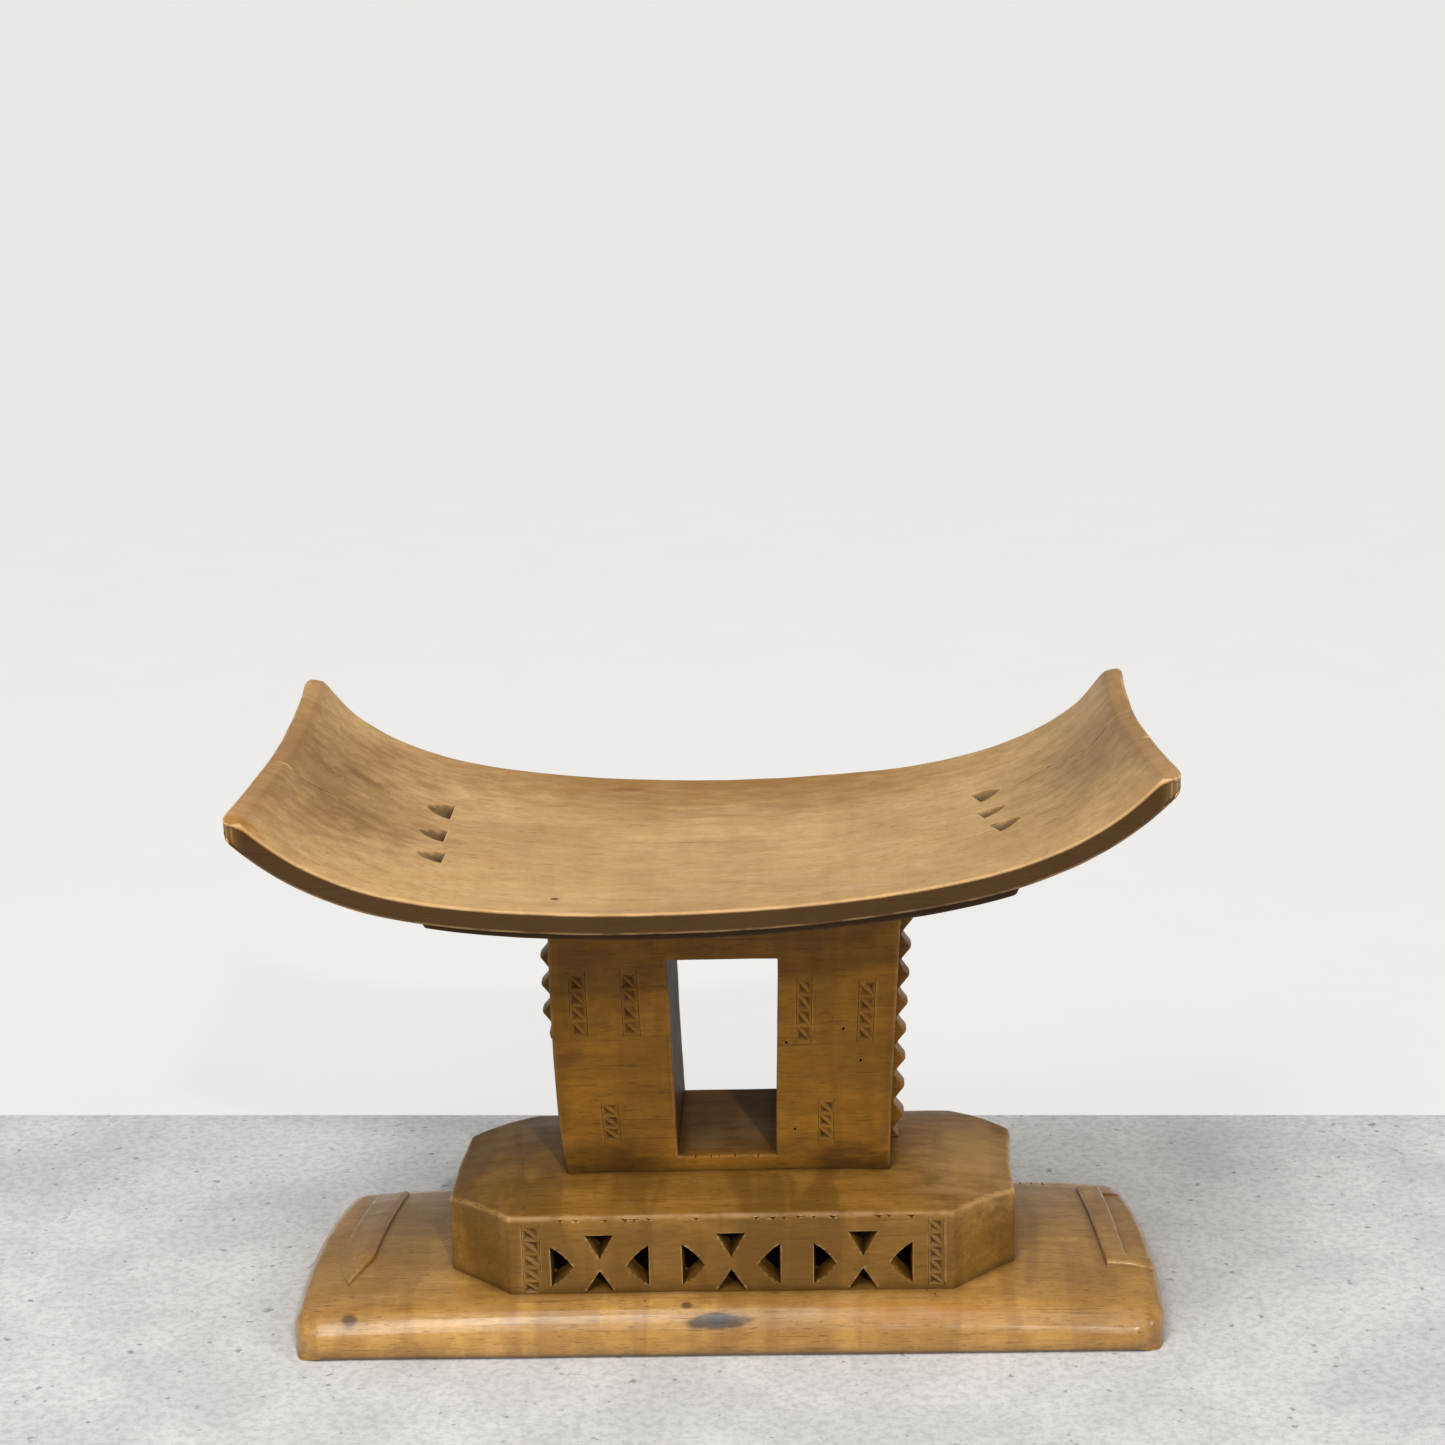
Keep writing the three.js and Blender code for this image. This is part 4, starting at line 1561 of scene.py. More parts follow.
@dataclass
class Plinth:
    """The hollow, pierced plinth with its crowned deck."""

    deck: DeckForm
    base: BaseForm
    hand: HandWork
    corner: Point = (36 * MM, 30 * MM)
    wall: float = 12 * MM
    foot: float = 25 * MM
    ceiling: float = 64 * MM
    gap: float = 0.3 * MM
    cross_count: int = 3
    cross_pitch: float = 73.5 * MM
    cross_width: float = 55 * MM
    cross_low: float = 27 * MM
    cross_high: float = 63.2 * MM
    side_half: float = 12.5 * MM  # half the height of a cross's side openings
    side_reach: float = 12.5 * MM
    end_half: float = 8 * MM  # half the width of its upper and lower openings
    end_height: float = 14.5 * MM
    pierce_rise: float = 3.4 * MM
    pierce_narrowing: float = 0.16
    lean: float = 5 * MM  # how far the top has slipped to the right at the back
    notches: int = 24
    cells: Place = (3.2 * MM, 3.6 * MM, 3.2 * MM)
    bands: tuple[ZigzagBand, ...] = (
        ZigzagBand(-107.4 * MM, -99 * MM, 27.5 * MM, 69 * MM),
        ZigzagBand(119 * MM, 126.4 * MM, 30 * MM, 70 * MM),
    )

    def outline(self, inset: float) -> list[Point]:
        """The octagon of the plan, drawn in by an inset.

        Args:
            inset: how far each side moves in.

        Returns:
            Its eight corners, in order.
        """
        half_x, half_y = self.deck.length / 2, self.deck.depth / 2
        cut_x, cut_y = self.corner
        reach = half_x * cut_y + (half_y - cut_y) * cut_x - inset * math.hypot(cut_x, cut_y)
        half_x, half_y = half_x - inset, half_y - inset
        corner_y = (reach - half_x * cut_y) / cut_x
        corner_x = (reach - half_y * cut_x) / cut_y
        quarter = [(corner_x, -half_y), (half_x, -corner_y), (half_x, corner_y), (corner_x, half_y)]
        ring = [*quarter, *[(-x, y) for x, y in reversed(quarter)]]
        return [(x + self.deck.middle[0], y + self.deck.middle[1]) for x, y in ring]

    def cage(self) -> Piece:
        """The hollow octagon with rounded edges.

        Returns:
            The cage.
        """
        shell = Bench.slab("shell", self.outline(0), self.foot, self.deck.edge)
        Bench.round_edges(shell, 2.2 * MM, 3, self.weigh)
        Bench.cut(shell, [Bench.slab("hollow", self.outline(self.wall), self.foot - PROUD, self.ceiling)])
        return shell

    def weigh(self, middle: Vector, way: Vector) -> float:
        """The rim of the deck is rounded, the upright corners less, and the foot isn't.

        Args:
            middle: the edge's middle.
            way: its direction.

        Returns:
            The share of the full rounding.
        """
        if abs(way.z) > UPRIGHT:
            return 0.5
        return 1.0 if middle.z > self.ceiling else 0.0

    def rubbed(self, at: Vector) -> float:
        """The rim of the deck is rubbed most, the piercings little and the foot not at all.

        Args:
            at: a place on the flat-topped shell.

        Returns:
            How rubbed it is, from 0 to 1.
        """
        if at.z < self.foot + 2 * MM:
            return 0.0
        return 1.0 if at.z > self.deck.edge - 3 * MM else 0.4

    def hollow(self, at: Vector) -> float:
        """Dark wax and painted shade in the two zigzag bands.

        Args:
            at: a place on the flat-topped shell.

        Returns:
            How dark it is, from 0 to 1.
        """
        depth = at.y - (self.deck.middle[1] - self.deck.depth / 2)
        in_band = any(band.left - MM < at.x < band.right + MM for band in self.bands)
        if not in_band or depth > 3 * MM or at.z > self.deck.edge - 2.5 * MM:
            return 0.0
        return 0.6 * clamp(depth / (1.1 * MM))

    def triangle(self, corners: Sequence[Point], bulge: float) -> list[Point]:
        """An outline through three corners, whose last two sides swell a little.

        Args:
            corners: the three corners, in order.
            bulge: how far the two sides swell.

        Returns:
            The outline.
        """
        steps = 4
        points: list[Point] = []
        for i in range(3):
            start, end = Vector(corners[i]), Vector(corners[(i + 1) % 3])
            run = end - start
            out = Vector((run.y, -run.x)).normalized() * (bulge if i else 0)
            for k in range(steps):
                share = k / steps
                points.append(tuple(start + run * share + out * 4 * share * (1 - share)))
        return points

    def cross(self, middle: float) -> list[list[Point]]:
        """The four openings of one pierced cross, as outlines in X and Z.

        Args:
            middle: the X of its middle.

        Returns:
            The outlines.
        """
        low, high, half = self.cross_low, self.cross_high, self.side_half
        centre = (low + high) / 2 - MM
        left, right = middle - self.cross_width / 2, middle + self.cross_width / 2
        wide, tall = self.end_half, self.end_height
        openings = [
            ([(left, centre + half), (left, centre - half), (left + self.side_reach, centre)], 1.1 * MM),
            ([(right, centre - half), (right, centre + half), (right - self.side_reach, centre)], 1.1 * MM),
            ([(middle + wide, high), (middle - wide, high), (middle, high - tall)], 0.1 * MM),
            ([(middle - wide, low), (middle + wide, low), (middle, low + tall)], 0.5 * MM),
        ]
        return [self.triangle(corners, bulge) for corners, bulge in openings]

    def piercing(self, outline: Sequence[Point], way: int) -> Piece:
        """One opening, whose lower sides slope up as they go through the wall.

        Args:
            outline: its shape on the face.
            way: -1 for the front wall and 1 for the back one.

        Returns:
            The cutting tool.
        """
        front = self.deck.middle[1] + way * self.deck.depth / 2
        low = min(z for _, z in outline)
        middle = sum(x for x, _ in outline) / len(outline)
        high = max(z for _, z in outline)

        def ring(depth: float, share: float) -> list[Vector]:
            """The outline at a depth, drawn in towards its upper middle.

            Args:
                depth: how far into the wood it is.
                share: how far through the wall that is.

            Returns:
                The ring.
            """
            lift = self.pierce_rise * share
            scale = 1 - self.pierce_narrowing * share
            points = []
            for x, z in outline:
                raised = z + lift * (high - z) / (high - low)
                points.append(Vector((middle + (x - middle) * scale, front - way * depth, raised)))
            return points

        return Bench.prism("piercing", ring(-PROUD, -0.25), ring(self.wall + PROUD, 1.3))

    def chips(self) -> list[Piece]:
        """The zigzag bands and the notches along the deck's front edge.

        Returns:
            The cutting tools.
        """
        front = self.deck.middle[1] - self.deck.depth / 2
        face = Chisel(front)
        made = [tool for band in self.bands for tool in band.tools(face)]
        first, pitch, stray = -96, 8.3, 9  # millimetres, from the plinth's middle
        for i in range(self.notches):
            wander = noise.noise(Vector((i * 1.7, 2.0, 0.5)))
            if wander < -0.02:
                continue
            x = self.deck.middle[0] + (first + pitch * i + stray * wander) * MM
            size = (0.9 + 1.3 * abs(wander)) * MM
            high = self.deck.edge - 1.4 * MM
            corners = [(x - 1.5 * size, high), (x + 1.5 * size, high), (x + 0.4 * size, high - 1.7 * size)]
            made.append(face.chip(corners, 1.3 * size))
        return made

    def place(self, at: Vector) -> Vector:
        """Where a point of the flat-topped shell lies on the carved plinth.

        Args:
            at: a place on the flat-topped shell.

        Returns:
            Its place in the frame.
        """
        share = (at.z - self.foot) / (self.deck.edge - self.foot)
        low = self.base.top(at.x, at.y) - MM - self.foot
        low *= 1 - smooth(share * 4)  # only the lowest quarter follows the slab
        highness = smooth((at.z - self.ceiling) / (self.deck.edge - self.ceiling))
        high = (self.deck.top(at.x, at.y) - self.deck.edge) * highness
        skew = self.lean * clamp((at.y - self.deck.middle[1]) / (self.deck.depth / 2)) * smooth(share)
        ruled = Vector((at.x + skew, at.y, at.z + low + high))
        return ruled + self.hand.shift(ruled)

    def build(self, material: Material) -> None:
        """Makes the plinth, saws it into walls and deck and puts them in the frame.

        Args:
            material: its finish.
        """
        shell = self.cage()
        crosses = []
        for i in range(self.cross_count):
            middle = self.deck.middle[0] + self.cross_pitch * (i - (self.cross_count - 1) / 2)
            crosses += self.cross(middle)
        Bench.cut(shell, [self.piercing(outline, way) for outline in crosses for way in (-1, 1)])
        Bench.cut(shell, self.chips())
        Bench.divide(shell, self.cells)
        Bench.tint(shell, "hollow", self.hollow)
        Bench.bend(shell, self.place, self.rubbed)
        middle_x, middle_y = self.deck.middle
        reach = self.deck.length / 2 - self.corner[0]
        deck = Bench.split(shell, Axis.Z, self.ceiling + self.gap, "deck")
        right = Bench.split(shell, Axis.X, middle_x + reach, "right")
        front = Bench.split(shell, Axis.X, middle_x - reach, "front")
        back = Bench.split(front, Axis.Y, middle_y, "back")
        Bench.deliver(deck, "plinth_crowned_deck", Slot.PLINTH, ["plinth_deck"], material)
        Bench.deliver(front, "plinth_front_wall", Slot.PLINTH, ["plinth_front_panel"], material)
        Bench.deliver(back, "plinth_back_wall", Slot.PLINTH, ["plinth_back_panel"], material)
        Bench.deliver(shell, "plinth_left_wall", Slot.PLINTH, ["plinth_left_end"], material)
        Bench.deliver(right, "plinth_right_wall", Slot.PLINTH, ["plinth_right_end"], material)


# -------------------------------------------------------------------- the base


@dataclass
class Base:
    """The slab with its rounded nose, its two low reliefs and its knife cuts."""

    form: BaseForm
    hand: HandWork
    nose: float = 18.5 * MM
    relief_rise: float = 3 * MM
    sink: float = 1.2 * MM
    recess_width: float = 20 * MM
    recess_front: float = -34 * MM
    recess_back: float = 62 * MM
    recess_depth: float = 1.1 * MM
    cells: Place = (3.6 * MM, 3.6 * MM, 3 * MM)

    def weigh(self, middle: Vector, way: Vector) -> float:
        """Long top edges and upright corners get the full nose, the ends half of it and the foot little.

        Args:
            middle: the edge's middle.
            way: its direction.

        Returns:
            The share of the full nose.
        """
        if abs(way.z) > UPRIGHT:
            return 1.0
        if middle.z < self.form.edge / 2:
            return 0.20
        return 1.0 if abs(way.x) > UPRIGHT else 0.55

    def recess(self) -> Piece:
        """The shallow panel between the right relief and the slab's end.

        Returns:
            The cutting tool.
        """
        half = self.form.length / 2
        left, right = self.form.middle + half - self.recess_width, self.form.middle + half + PROUD
        near, far = self.recess_front, self.recess_back
        outline = [(left, near), (right, near), (right, far), (left, far)]
        return Bench.slab("recess", outline, self.form.edge - self.recess_depth, self.form.edge + PROUD)

    def cuts(self) -> list[Piece]:
        """The knife line and the nicks behind the plinth's right end, and small beetle holes.

        Returns:
            The cutting tools.
        """
        top = Chisel(self.form.edge, Axis.Z)
        made: list[Piece] = []
        for x in (186, 193, 200):
            made.append(top.groove((x * MM, 74 * MM), ((x + 1.5) * MM, 93 * MM), 1.2 * MM, 0.9 * MM))
        made.append(top.groove((176 * MM, 71.5 * MM), (232 * MM, 71 * MM), 1.1 * MM, 0.8 * MM))
        for x, y in ((117.5, -72), (122, -76), (-40, -79)):
            made.append(top.hole(x * MM, y * MM, 0.7 * MM, 3 * MM))
        route = [(-224 * MM, -62 * MM), (-205 * MM, -69 * MM), (-180 * MM, -70 * MM)]
        made.append(top.crack(route, 0.4 * MM, MM))
        return made

    def place(self, at: Vector) -> Vector:
        """Where a point of the flat slab lies on the domed base.

        Args:
            at: a place on the flat slab.

        Returns:
            Its place in the frame.
        """
        x = self.form.middle + at.x * self.form.half_length(at.y) / (self.form.length / 2)
        share = clamp(at.z / self.form.edge)
        ruled = Vector((x, at.y, at.z + (self.form.top(x, at.y) - self.form.edge) * share))
        shift = self.hand.shift(ruled)
        shift.z *= smooth(at.z / (4 * MM))
        return ruled + shift

    def hollow(self, at: Vector) -> float:
        """Dark wax and painted shade in the cuts and holes of the top.

        Args:
            at: a place on the flat slab.

        Returns:
            How dark it is, from 0 to 1.
        """
        depth = self.form.edge - at.z
        from_end, from_side = self.form.length / 2 - 8 * MM - abs(at.x), self.form.depth / 2 - abs(at.y)
        inside = min(from_end, from_side) > self.nose * 1.1
        return clamp(depth / (1.2 * MM)) if inside and depth < 4 * MM else 0.0

    def slab(self, material: Material) -> None:
        """Makes the slab and puts it in the frame.

        Args:
            material: its finish.
        """
        half, deep = self.form.length / 2, self.form.depth / 2
        outline = [(-half, -deep), (half, -deep), (half, deep), (-half, deep)]
        body = Bench.slab("slab", outline, 0, self.form.edge)
        Bench.round_edges(body, self.nose, 8, self.weigh)
        Bench.cut(body, [self.shifted(self.recess())])
        Bench.cut(body, [self.shifted(tool) for tool in self.cuts()])
        Bench.divide(body, self.cells)
        Bench.tint(body, "hollow", self.hollow)
        Bench.bend(body, self.place, lambda _: 0.6)
        Bench.deliver(body, "base_board", Slot.BASE, ["base_slab"], material)

    def shifted(self, tool: Piece) -> Piece:
        """Moves a tool from the frame onto the cage, which is made round the slab's middle."""
        tool.data.transform(Matrix.Translation((-self.form.middle, 0, 0)))
        return tool

    def relief(self, name: str, node: str, outline: Sequence[Point],
               fade: Callable[[float, float], float], material: Material) -> None:
        """Makes one low figure that follows the dome.

        Args:
            name: what to call it.
            node: the member of the frame that it stands for.
            outline: its plan.
            fade: the share of its full height at a place.
            material: its finish.
        """
        figure = Bench.slab(name, outline, 0, self.relief_rise + self.sink)
        low = self.relief_rise
        Bench.round_edges(figure, 2.0 * MM, 3, lambda mid, way: 1.0 if mid.z > low else 0.0)
        Bench.divide(figure, (2.5 * MM, 3 * MM, 0))

        def place(at: Vector) -> Vector:
            """Lays the figure on the dome.

            Args:
                at: a place on the flat figure.

            Returns:
                Its place in the frame.
            """
            share = at.z / (self.relief_rise + self.sink)
            height = blend(-self.sink, self.relief_rise * fade(at.x, at.y), share)
            ruled = Vector((at.x, at.y, self.form.top(at.x, at.y) + height))
            return ruled + self.hand.shift(ruled)

        Bench.bend(figure, place, lambda _: 0.8)
        Bench.deliver(figure, name, Slot.BASE, [node], material)

    def left_relief(self, material: Material) -> None:
        """A straight bar with a pointed front, fading out towards the slab's end.

        Args:
            material: its finish.
        """
        outline = [
            (-220 * MM, -30 * MM), (-209.5 * MM, -56 * MM), (-198.5 * MM, -28 * MM),
            (-192 * MM, 74 * MM), (-212 * MM, 74 * MM),
        ]

        def fade(x: float, y: float) -> float:
            """Full height on the inner side and hardly any on the outer side.

            Args:
                x: along the slab.
                y: across it.

            Returns:
                The share of its height.
            """
            inner = blend(-199 * MM, -192 * MM, (y + 28 * MM) / (102 * MM))
            return blend(1.0, 0.12, smooth((inner - x) / (21 * MM)))

        self.relief("left_pointed_bar", "base_left_relief", outline, fade, material)

    def right_relief(self, material: Material) -> None:
        """An angled bar: along the slab's depth, then a foot out to its end.

        Args:
            material: its finish.
        """
        outline = [
            (220 * MM, -45 * MM), (247 * MM, -45 * MM), (246 * MM, -34 * MM),
            (232 * MM, -33 * MM), (227 * MM, 66 * MM), (213 * MM, 66 * MM),
        ]

        def fade(x: float, y: float) -> float:
            """A bar with a soft round back that sinks towards the slab's end."""
            return blend(1.0, 0.35, smooth((x - 232 * MM) / (12 * MM)))

        self.relief("right_angled_bar", "base_right_relief", outline, fade, material)


# ------------------------------------------------------------------ the studio


@dataclass
class Studio:
    """The floor, the pale ground behind it, the lights and the camera."""

    target: Place = (9.477 * MM, 0.0, 338.5 * MM)
    yaw: float = 0.03260
    pitch: float = 0.25654
    roll: float = -0.02717
    distance: float = 1622.2 * MM
    sensor: float = 36.0
    lens: float = 72.66
    ground_share: float = 0.2717  # how far below the view's middle the floor ends, in widths of it
    half_ground: float = 90.0
    floor_reach: float = 8.0
    ground_reach: float = 300.0
    nearest: float = 0.05
    farthest: float = 400.0

    @property
    def back(self) -> Vector:
        """The direction from the target to the camera."""
        return Vector((math.sin(self.yaw) * math.cos(self.pitch), -math.cos(self.yaw) * math.cos(self.pitch),
                       math.sin(self.pitch)))

    @property
    def eye(self) -> Vector:
        """Where the camera stands."""
        return Vector(self.target) + self.back * self.distance

    @property
    def axes(self) -> tuple[Vector, Vector, Vector]:
        """The view's right, its up and the way back to the camera.

        Returns:
            The three unit vectors.
        """
        back = self.back
        level = (-back).cross(Axis.Z.normal).normalized()
        upright = level.cross(-back)
        right = math.cos(self.roll) * level + math.sin(self.roll) * upright
        up = -math.sin(self.roll) * level + math.cos(self.roll) * upright
        return right, up, back

    def camera(self) -> None:
        """Sets up the camera, which looks a little down on the seat from the front."""
        data = bpy.data.cameras.new("camera")
        data.sensor_width, data.lens = self.sensor, self.lens
        data.clip_start, data.clip_end = self.nearest, self.farthest
        camera = bpy.data.objects.new("camera", data)
        bpy.context.collection.objects.link(camera)
        turn = Matrix(self.axes).transposed().to_4x4()
        camera.matrix_world = Matrix.Translation(self.eye) @ turn
        bpy.context.scene.camera = camera

    def on_floor(self, across: float, below: float) -> Vector:
        """The place on the floor that is seen off the view's middle, in shares of its width.

        Args:
            across: the share to the right.
            below: the share down.

        Returns:
            The place.
        """
        right, up, back = self.axes
        width = self.sensor / self.lens
        sight = right * across * width - up * below * width - back
        return self.eye - sight * (self.eye.z / sight.z)

    def ground(self, floor: Material, beyond: Material) -> None:
        """Lays the grey floor and, past a line behind the object, the pale ground.

        Args:
            floor: the floor's finish.
            beyond: the pale ground's finish.
        """
        left, right = self.on_floor(-0.5, self.ground_share), self.on_floor(0.5, self.ground_share)
        run = (right - left).normalized()
        away = Vector((-run.y, run.x, 0))
        middle = (left + right) / 2
        sheets = (("floor", -self.floor_reach, 0.0, floor), ("pale_ground", 0.0, self.ground_reach, beyond))
        side = self.half_ground
        for name, near, far, material in sheets:
            order = ((-side, near), (side, near), (-side, far), (side, far))
            Bench.clear()
            bpy.ops.mesh.primitive_plane_add(size=1)
            sheet = bpy.context.object
            sheet.name = sheet.data.name = name
            for vertex, (across, deep) in zip(sheet.data.vertices, order):
                corner = middle + run * across + away * deep
                vertex.co = (corner.x, corner.y, 0)
            sheet.data.materials.append(material)

    @staticmethod
    def way(azimuth: float, elevation: float) -> Vector:
        """The direction of a light, from degrees round from the front and degrees up."""
        turn, rise = math.radians(azimuth), math.radians(elevation)
        return Vector((math.sin(turn) * math.cos(rise), -math.cos(turn) * math.cos(rise), math.sin(rise)))

    def light(self, name: str, azimuth: float, elevation: float, away: float, size: Point, power: float,
              tint: str) -> None:
        """Hangs one lamp that looks at the middle of the object.

        Args:
            name: what to call it.
            azimuth: degrees round from the front, to the right.
            elevation: degrees above the floor.
            away: how far off it hangs.
            size: its width and its height.
            power: its watts.
            tint: its colour.
        """
        way = self.way(azimuth, elevation)
        data = bpy.data.lights.new(name, "AREA")
        data.shape, data.energy = "RECTANGLE", power
        data.size, data.size_y = size
        data.color = paint(tint)[:3]
        lamp = bpy.data.objects.new(name, data)
        bpy.context.collection.objects.link(lamp)
        lamp.location = Vector((0, 0, 0.18)) + way * away
        lamp.rotation_euler = way.to_track_quat("Z", "Y").to_euler()

    def sun(self, name: str, azimuth: float, elevation: float, spread: float, power: float,
            tint: str) -> None:
        """Sets one far light.

        Args:
            name: what to call it.
            azimuth: degrees round from the front, to the right.
            elevation: degrees above the floor.
            spread: how wide it looks, in degrees.
            power: its watts on a square metre.
            tint: its colour.
        """
        data = bpy.data.lights.new(name, "SUN")
        data.energy, data.angle = power, math.radians(spread)
        data.color = paint(tint)[:3]
        lamp = bpy.data.objects.new(name, data)
        bpy.context.collection.objects.link(lamp)
        lamp.rotation_euler = self.way(azimuth, elevation).to_track_quat("Z", "Y").to_euler()

    def lights(self) -> None:
        """A broad high light, a key from the front right, a weak fill and a faint even sky."""
        self.sun("high_light", 15, 74, 50, 0.45, "fffaf2")
        self.sun("right_key", 18, 34, 3, 1.05, "fff8ee")
        self.sun("left_fill", -35, 40, 30, 0.42, "fffcf8")
        self.sun("right_fill", 62, 28, 12, 0.60, "fffaf2")
        self.light("tall_light", -22, 62, 1.9, (0.42, 1.5), 19, "fffcf6")
        world = bpy.data.worlds.new("sky")
        world.use_nodes = True
        sky = world.node_tree.nodes["Background"]
        sky.inputs["Color"].default_value = paint("fbf8f3")
        sky.inputs["Strength"].default_value = 0.26
        scene = bpy.context.scene
        scene.world = world
        scene.view_settings.view_transform = "Standard"


# ------------------------------------------------------------------- the build


def seat_finish() -> WaxedWood:
    """Pale tan top, greyer and darker towards the upturned ends as painted shade, with dark veins on the
    left.

    Returns:
        The finish.
    """
    stains_and_light = (
        StainOrPaintedLight((-0.243, -0.122, 0.322), (0.020, 0.010, 0.016), "a8781c", 0.75, 0.8),
        StainOrPaintedLight((-0.214, 0.016, 0.312), (0.024, 0.010, 0.030), "5d3c22", 0.45, 0.9),
        StainOrPaintedLight((-0.197, 0.033, 0.301), (0.018, 0.008, 0.020), "5d3c22", 0.5, 0.9),
        # The next four patches darken and grey the upturned ends: painted shade.
        StainOrPaintedLight((-0.195, -0.030, 0.300), (0.050, 0.040, 0.050), "6a4a30", 0.30, 1.0),
        StainOrPaintedLight((0.215, -0.010, 0.315), (0.050, 0.090, 0.060), "7a6048", 0.28, 1.0),
        StainOrPaintedLight((-0.220, 0.000, 0.310), (0.120, 0.160, 0.080), "6f4e2c", 0.62, 1.0),
        StainOrPaintedLight((0.235, 0.010, 0.315), (0.100, 0.150, 0.080), "7c5e42", 0.52, 1.0),
        StainOrPaintedLight((0.000, 0.125, 0.275), (0.240, 0.100, 0.060), "8a6026", 0.75, 1.0),
        StainOrPaintedLight((-0.052, 0.104, 0.270), (0.016, 0.005, 0.010), "7b3f22", 0.45, 0.9),
        StainOrPaintedLight((-0.0786, -0.100, 0.270), (0.003, 0.003, 0.006), "4a2a10", 0.8, 0.5),
    )
    # The strong edge wear also paints a bright highlight along the seat's sharp arris.
    return WaxedWood("seat_wood", "cdaa79", "c4a06c", "946d41", roughness=0.42, edge_wear_and_highlight=0.85,
                     crevice_shade=0.6, ripple=0.12, mottle=0.16, fibres=0.17, pores=0.34, stains_and_light=stains_and_light)


def column_finish() -> WaxedWood:
    """Golden brown, with painted shade near the top of the right pier in the shelter of the seat, and painted
    light on the window's floor.

    Returns:
        The finish.
    """
    stains_and_light = (
        StainOrPaintedLight((-0.080, -0.030, 0.155), (0.010, 0.010, 0.012), "5a3812", 0.5, 0.9),
        StainOrPaintedLight((-0.030, -0.030, 0.160), (0.022, 0.010, 0.006), "6d4a18", 0.45, 0.9),
        # Painted shade at the top of the right pier, under the seat.
        StainOrPaintedLight((0.080, -0.030, 0.235), (0.040, 0.060, 0.016), "5a3a14", 0.45, 1.0),
        StainOrPaintedLight((-0.060, -0.030, 0.086), (0.060, 0.060, 0.024), "3a2204", 0.75, 1.0),
        StainOrPaintedLight((0.075, -0.030, 0.084), (0.070, 0.060, 0.026), "3a2204", 0.75, 1.0),
        StainOrPaintedLight((-0.020, -0.030, 0.150), (0.008, 0.060, 0.070), "4a2c08", 0.55, 1.0),
        StainOrPaintedLight((-0.088, -0.030, 0.140), (0.010, 0.060, 0.080), "4a2c08", 0.40, 1.0),
        # Two painted pools of light on the window's floor.
        StainOrPaintedLight((-0.006, -0.004, 0.0926), (0.016, 0.022, 0.003), "9c7f52", 0.50, 0.5),
        StainOrPaintedLight((0.022, 0.010, 0.0926), (0.014, 0.030, 0.003), "9c7f52", 0.40, 0.5),
        StainOrPaintedLight((0.100, -0.030, 0.150), (0.008, 0.060, 0.090), "4a2c08", 0.45, 1.0),
    )
    return WaxedWood("column_wood", "9a6a1c", "885c14", "5c3c08", roughness=0.42, edge_wear_and_highlight=0.16,
                     stains_and_light=stains_and_light)


def shaded_block_finish() -> WaxedWood:
    """Painted shade: the column's wood, darker, for the block that lies in the seat's shadow."""
    return WaxedWood("block_wood_painted_shade", "4a2f08", "3f2705", "2a1903", roughness=0.5, edge_wear_and_highlight=0.2)


def plinth_finish() -> WaxedWood:
    """Golden brown with bright worn edges, painted light at the deck's right end and painted shade at its
    left end.

    Returns:
        The finish.
    """
    stains_and_light = (
        # Painted light on the deck's right end.
        StainOrPaintedLight((0.150, 0.000, 0.082), (0.055, 0.100, 0.030), "cfa56c", 0.60, 1.0),
        StainOrPaintedLight((0.010, -0.072, 0.026), (0.160, 0.012, 0.012), "4a3008", 0.50, 1.0),
        StainOrPaintedLight((0.010, -0.072, 0.048), (0.170, 0.014, 0.050), "6b4a1a", 0.55, 1.0),
        # Painted shade on the deck's left end.
        StainOrPaintedLight((-0.085, 0.020, 0.082), (0.050, 0.060, 0.012), "7d5a28", 0.40, 1.0),
    )
    return WaxedWood("plinth_wood", "a07536", "8e6628", "5c4014", worn="e0b980", roughness=0.36,
                     edge_wear_and_highlight=0.55, ripple=0.48, coat=0.2, stains_and_light=stains_and_light)


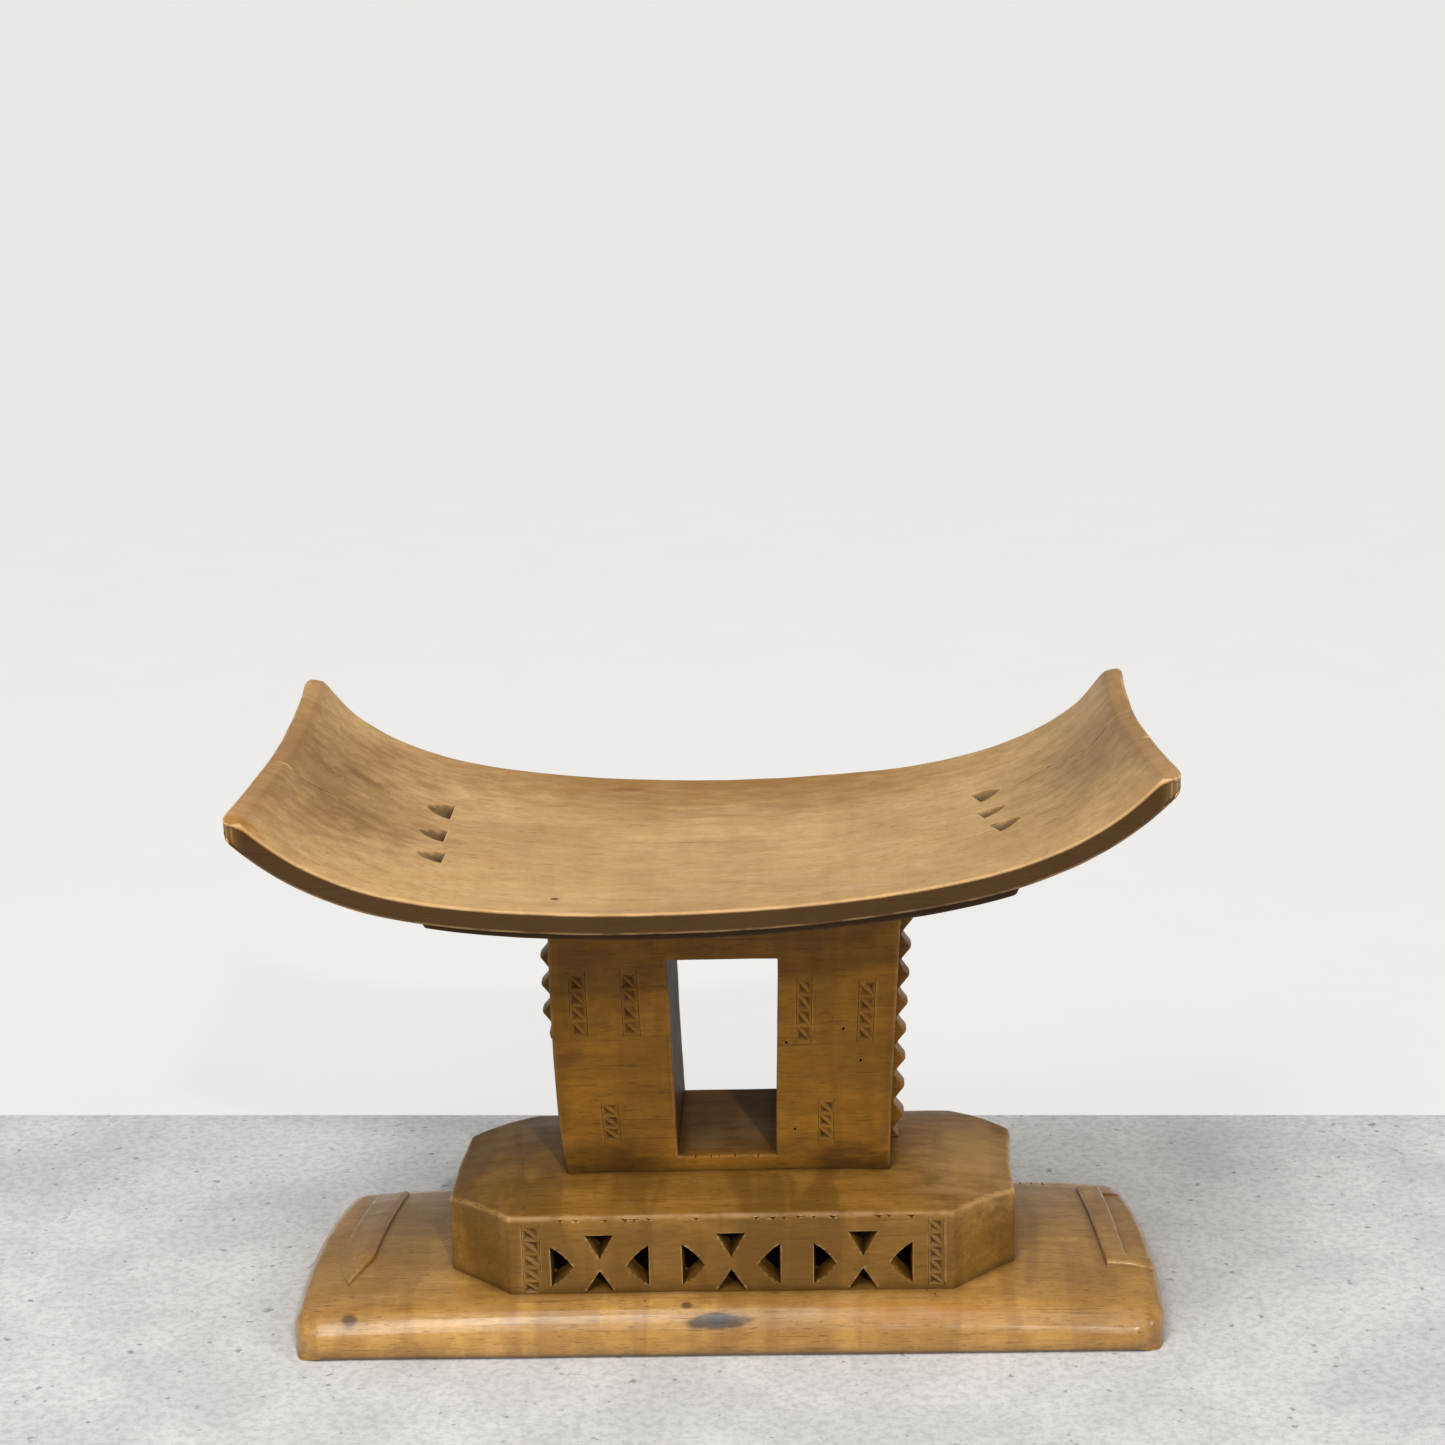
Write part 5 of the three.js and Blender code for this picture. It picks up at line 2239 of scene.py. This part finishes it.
def base_finish() -> WaxedWood:
    """Tan and glossy, with a long dark knot in the nose and painted shade on the lower, turned-under part of
    the nose.

    Returns:
        The finish.
    """
    stains_and_light = (
        StainOrPaintedLight((0.002, -0.0891, 0.0188), (0.022, 0.0060, 0.0046), "3a2820", 0.90, 0.35),
        StainOrPaintedLight((0.002, -0.0891, 0.0198), (0.008, 0.0045, 0.0032), "1c100c", 0.95, 0.6),
        StainOrPaintedLight((-0.0164, -0.082, 0.025), (0.004, 0.0035, 0.005), "4a3018", 0.8, 0.7),
        StainOrPaintedLight((-0.205, -0.0870, 0.0200), (0.006, 0.006, 0.006), "4c2c18", 0.85, 0.6),
        StainOrPaintedLight((0.120, -0.088, 0.024), (0.075, 0.012, 0.010), "b87a30", 0.5, 1.0),
        StainOrPaintedLight((-0.190, 0.030, 0.028), (0.040, 0.035, 0.015), "6f4a24", 0.45, 1.0),
        # Painted shade on the lower part of the nose, where it turns under.
        StainOrPaintedLight((0.000, -0.122, 0.000), (0.300, 0.040, 0.012), "6a4214", 0.55, 1.0),
        StainOrPaintedLight((0.248, -0.105, 0.008), (0.022, 0.030, 0.016), "50340f", 0.60, 1.0),
        StainOrPaintedLight((-0.240, -0.110, 0.004), (0.020, 0.030, 0.012), "50340f", 0.50, 1.0),
    )
    return WaxedWood("base_wood", "c99c56", "b68a45", "80592a", roughness=0.33, edge_wear_and_highlight=0.3, crevice_shade=0.65,
                     ripple=0.34, mottle=0.26, pores=0.5, coat=1.0, coat_roughness=0.27, stains_and_light=stains_and_light)


def main() -> None:
    """Builds the studio and every member, and reports each one."""
    logging.basicConfig(level=logging.INFO, format="%(name)s: %(message)s")
    noise.seed_set(SEED)
    studio = Studio()
    studio.camera()
    studio.ground(
        Plaster("floor_grey", "dedfe2", "cdced1", "8d8e92", 0.8).material(),
        Plaster("ground_pale", "808183", "7e7f81", "7c7d7f", 0.05, glow=0.66).material(),
    )
    studio.lights()
    hand = HandWork()
    seat_low, seat_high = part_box("seat")
    base_low, base_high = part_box("base_slab")
    plinth_low, plinth_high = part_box("plinth_left_end")[0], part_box("plinth_right_end")[1]
    pier_low, pier_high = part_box("left_pier")
    seat_form = SeatForm(seat_high.x - seat_low.x, seat_high.y - seat_low.y)
    base_form = BaseForm((base_low.x + base_high.x) / 2, base_high.x - base_low.x, base_high.y - base_low.y)
    stand_x = (plinth_low.x + plinth_high.x) / 2
    deck_form = DeckForm((stand_x, (plinth_low.y + plinth_high.y) / 2), plinth_high.x - plinth_low.x,
                         plinth_high.y - plinth_low.y)
    seat_wood, column_wood = seat_finish().material(), column_finish().material()
    plinth_wood, base_wood = plinth_finish().material(), base_finish().material()
    Seat(seat_form, hand).build(seat_wood)
    block = SeatBlock(seat_form, hand, stand_x)
    block.build(shaded_block_finish().material())
    column = Column(deck_form, block, hand, stand_x, pier_low.y, pier_high.y)
    column.build(column_wood)
    for side in (-1, 1):
        SawRidge(column, side).build(column_wood)
    Plinth(deck_form, base_form, hand).build(plinth_wood)
    base = Base(base_form, HandWork(ripple=0.3 * MM))
    base.slab(base_wood)
    base.left_relief(base_wood)
    base.right_relief(base_wood)


if __name__ == "__main__":
    main()
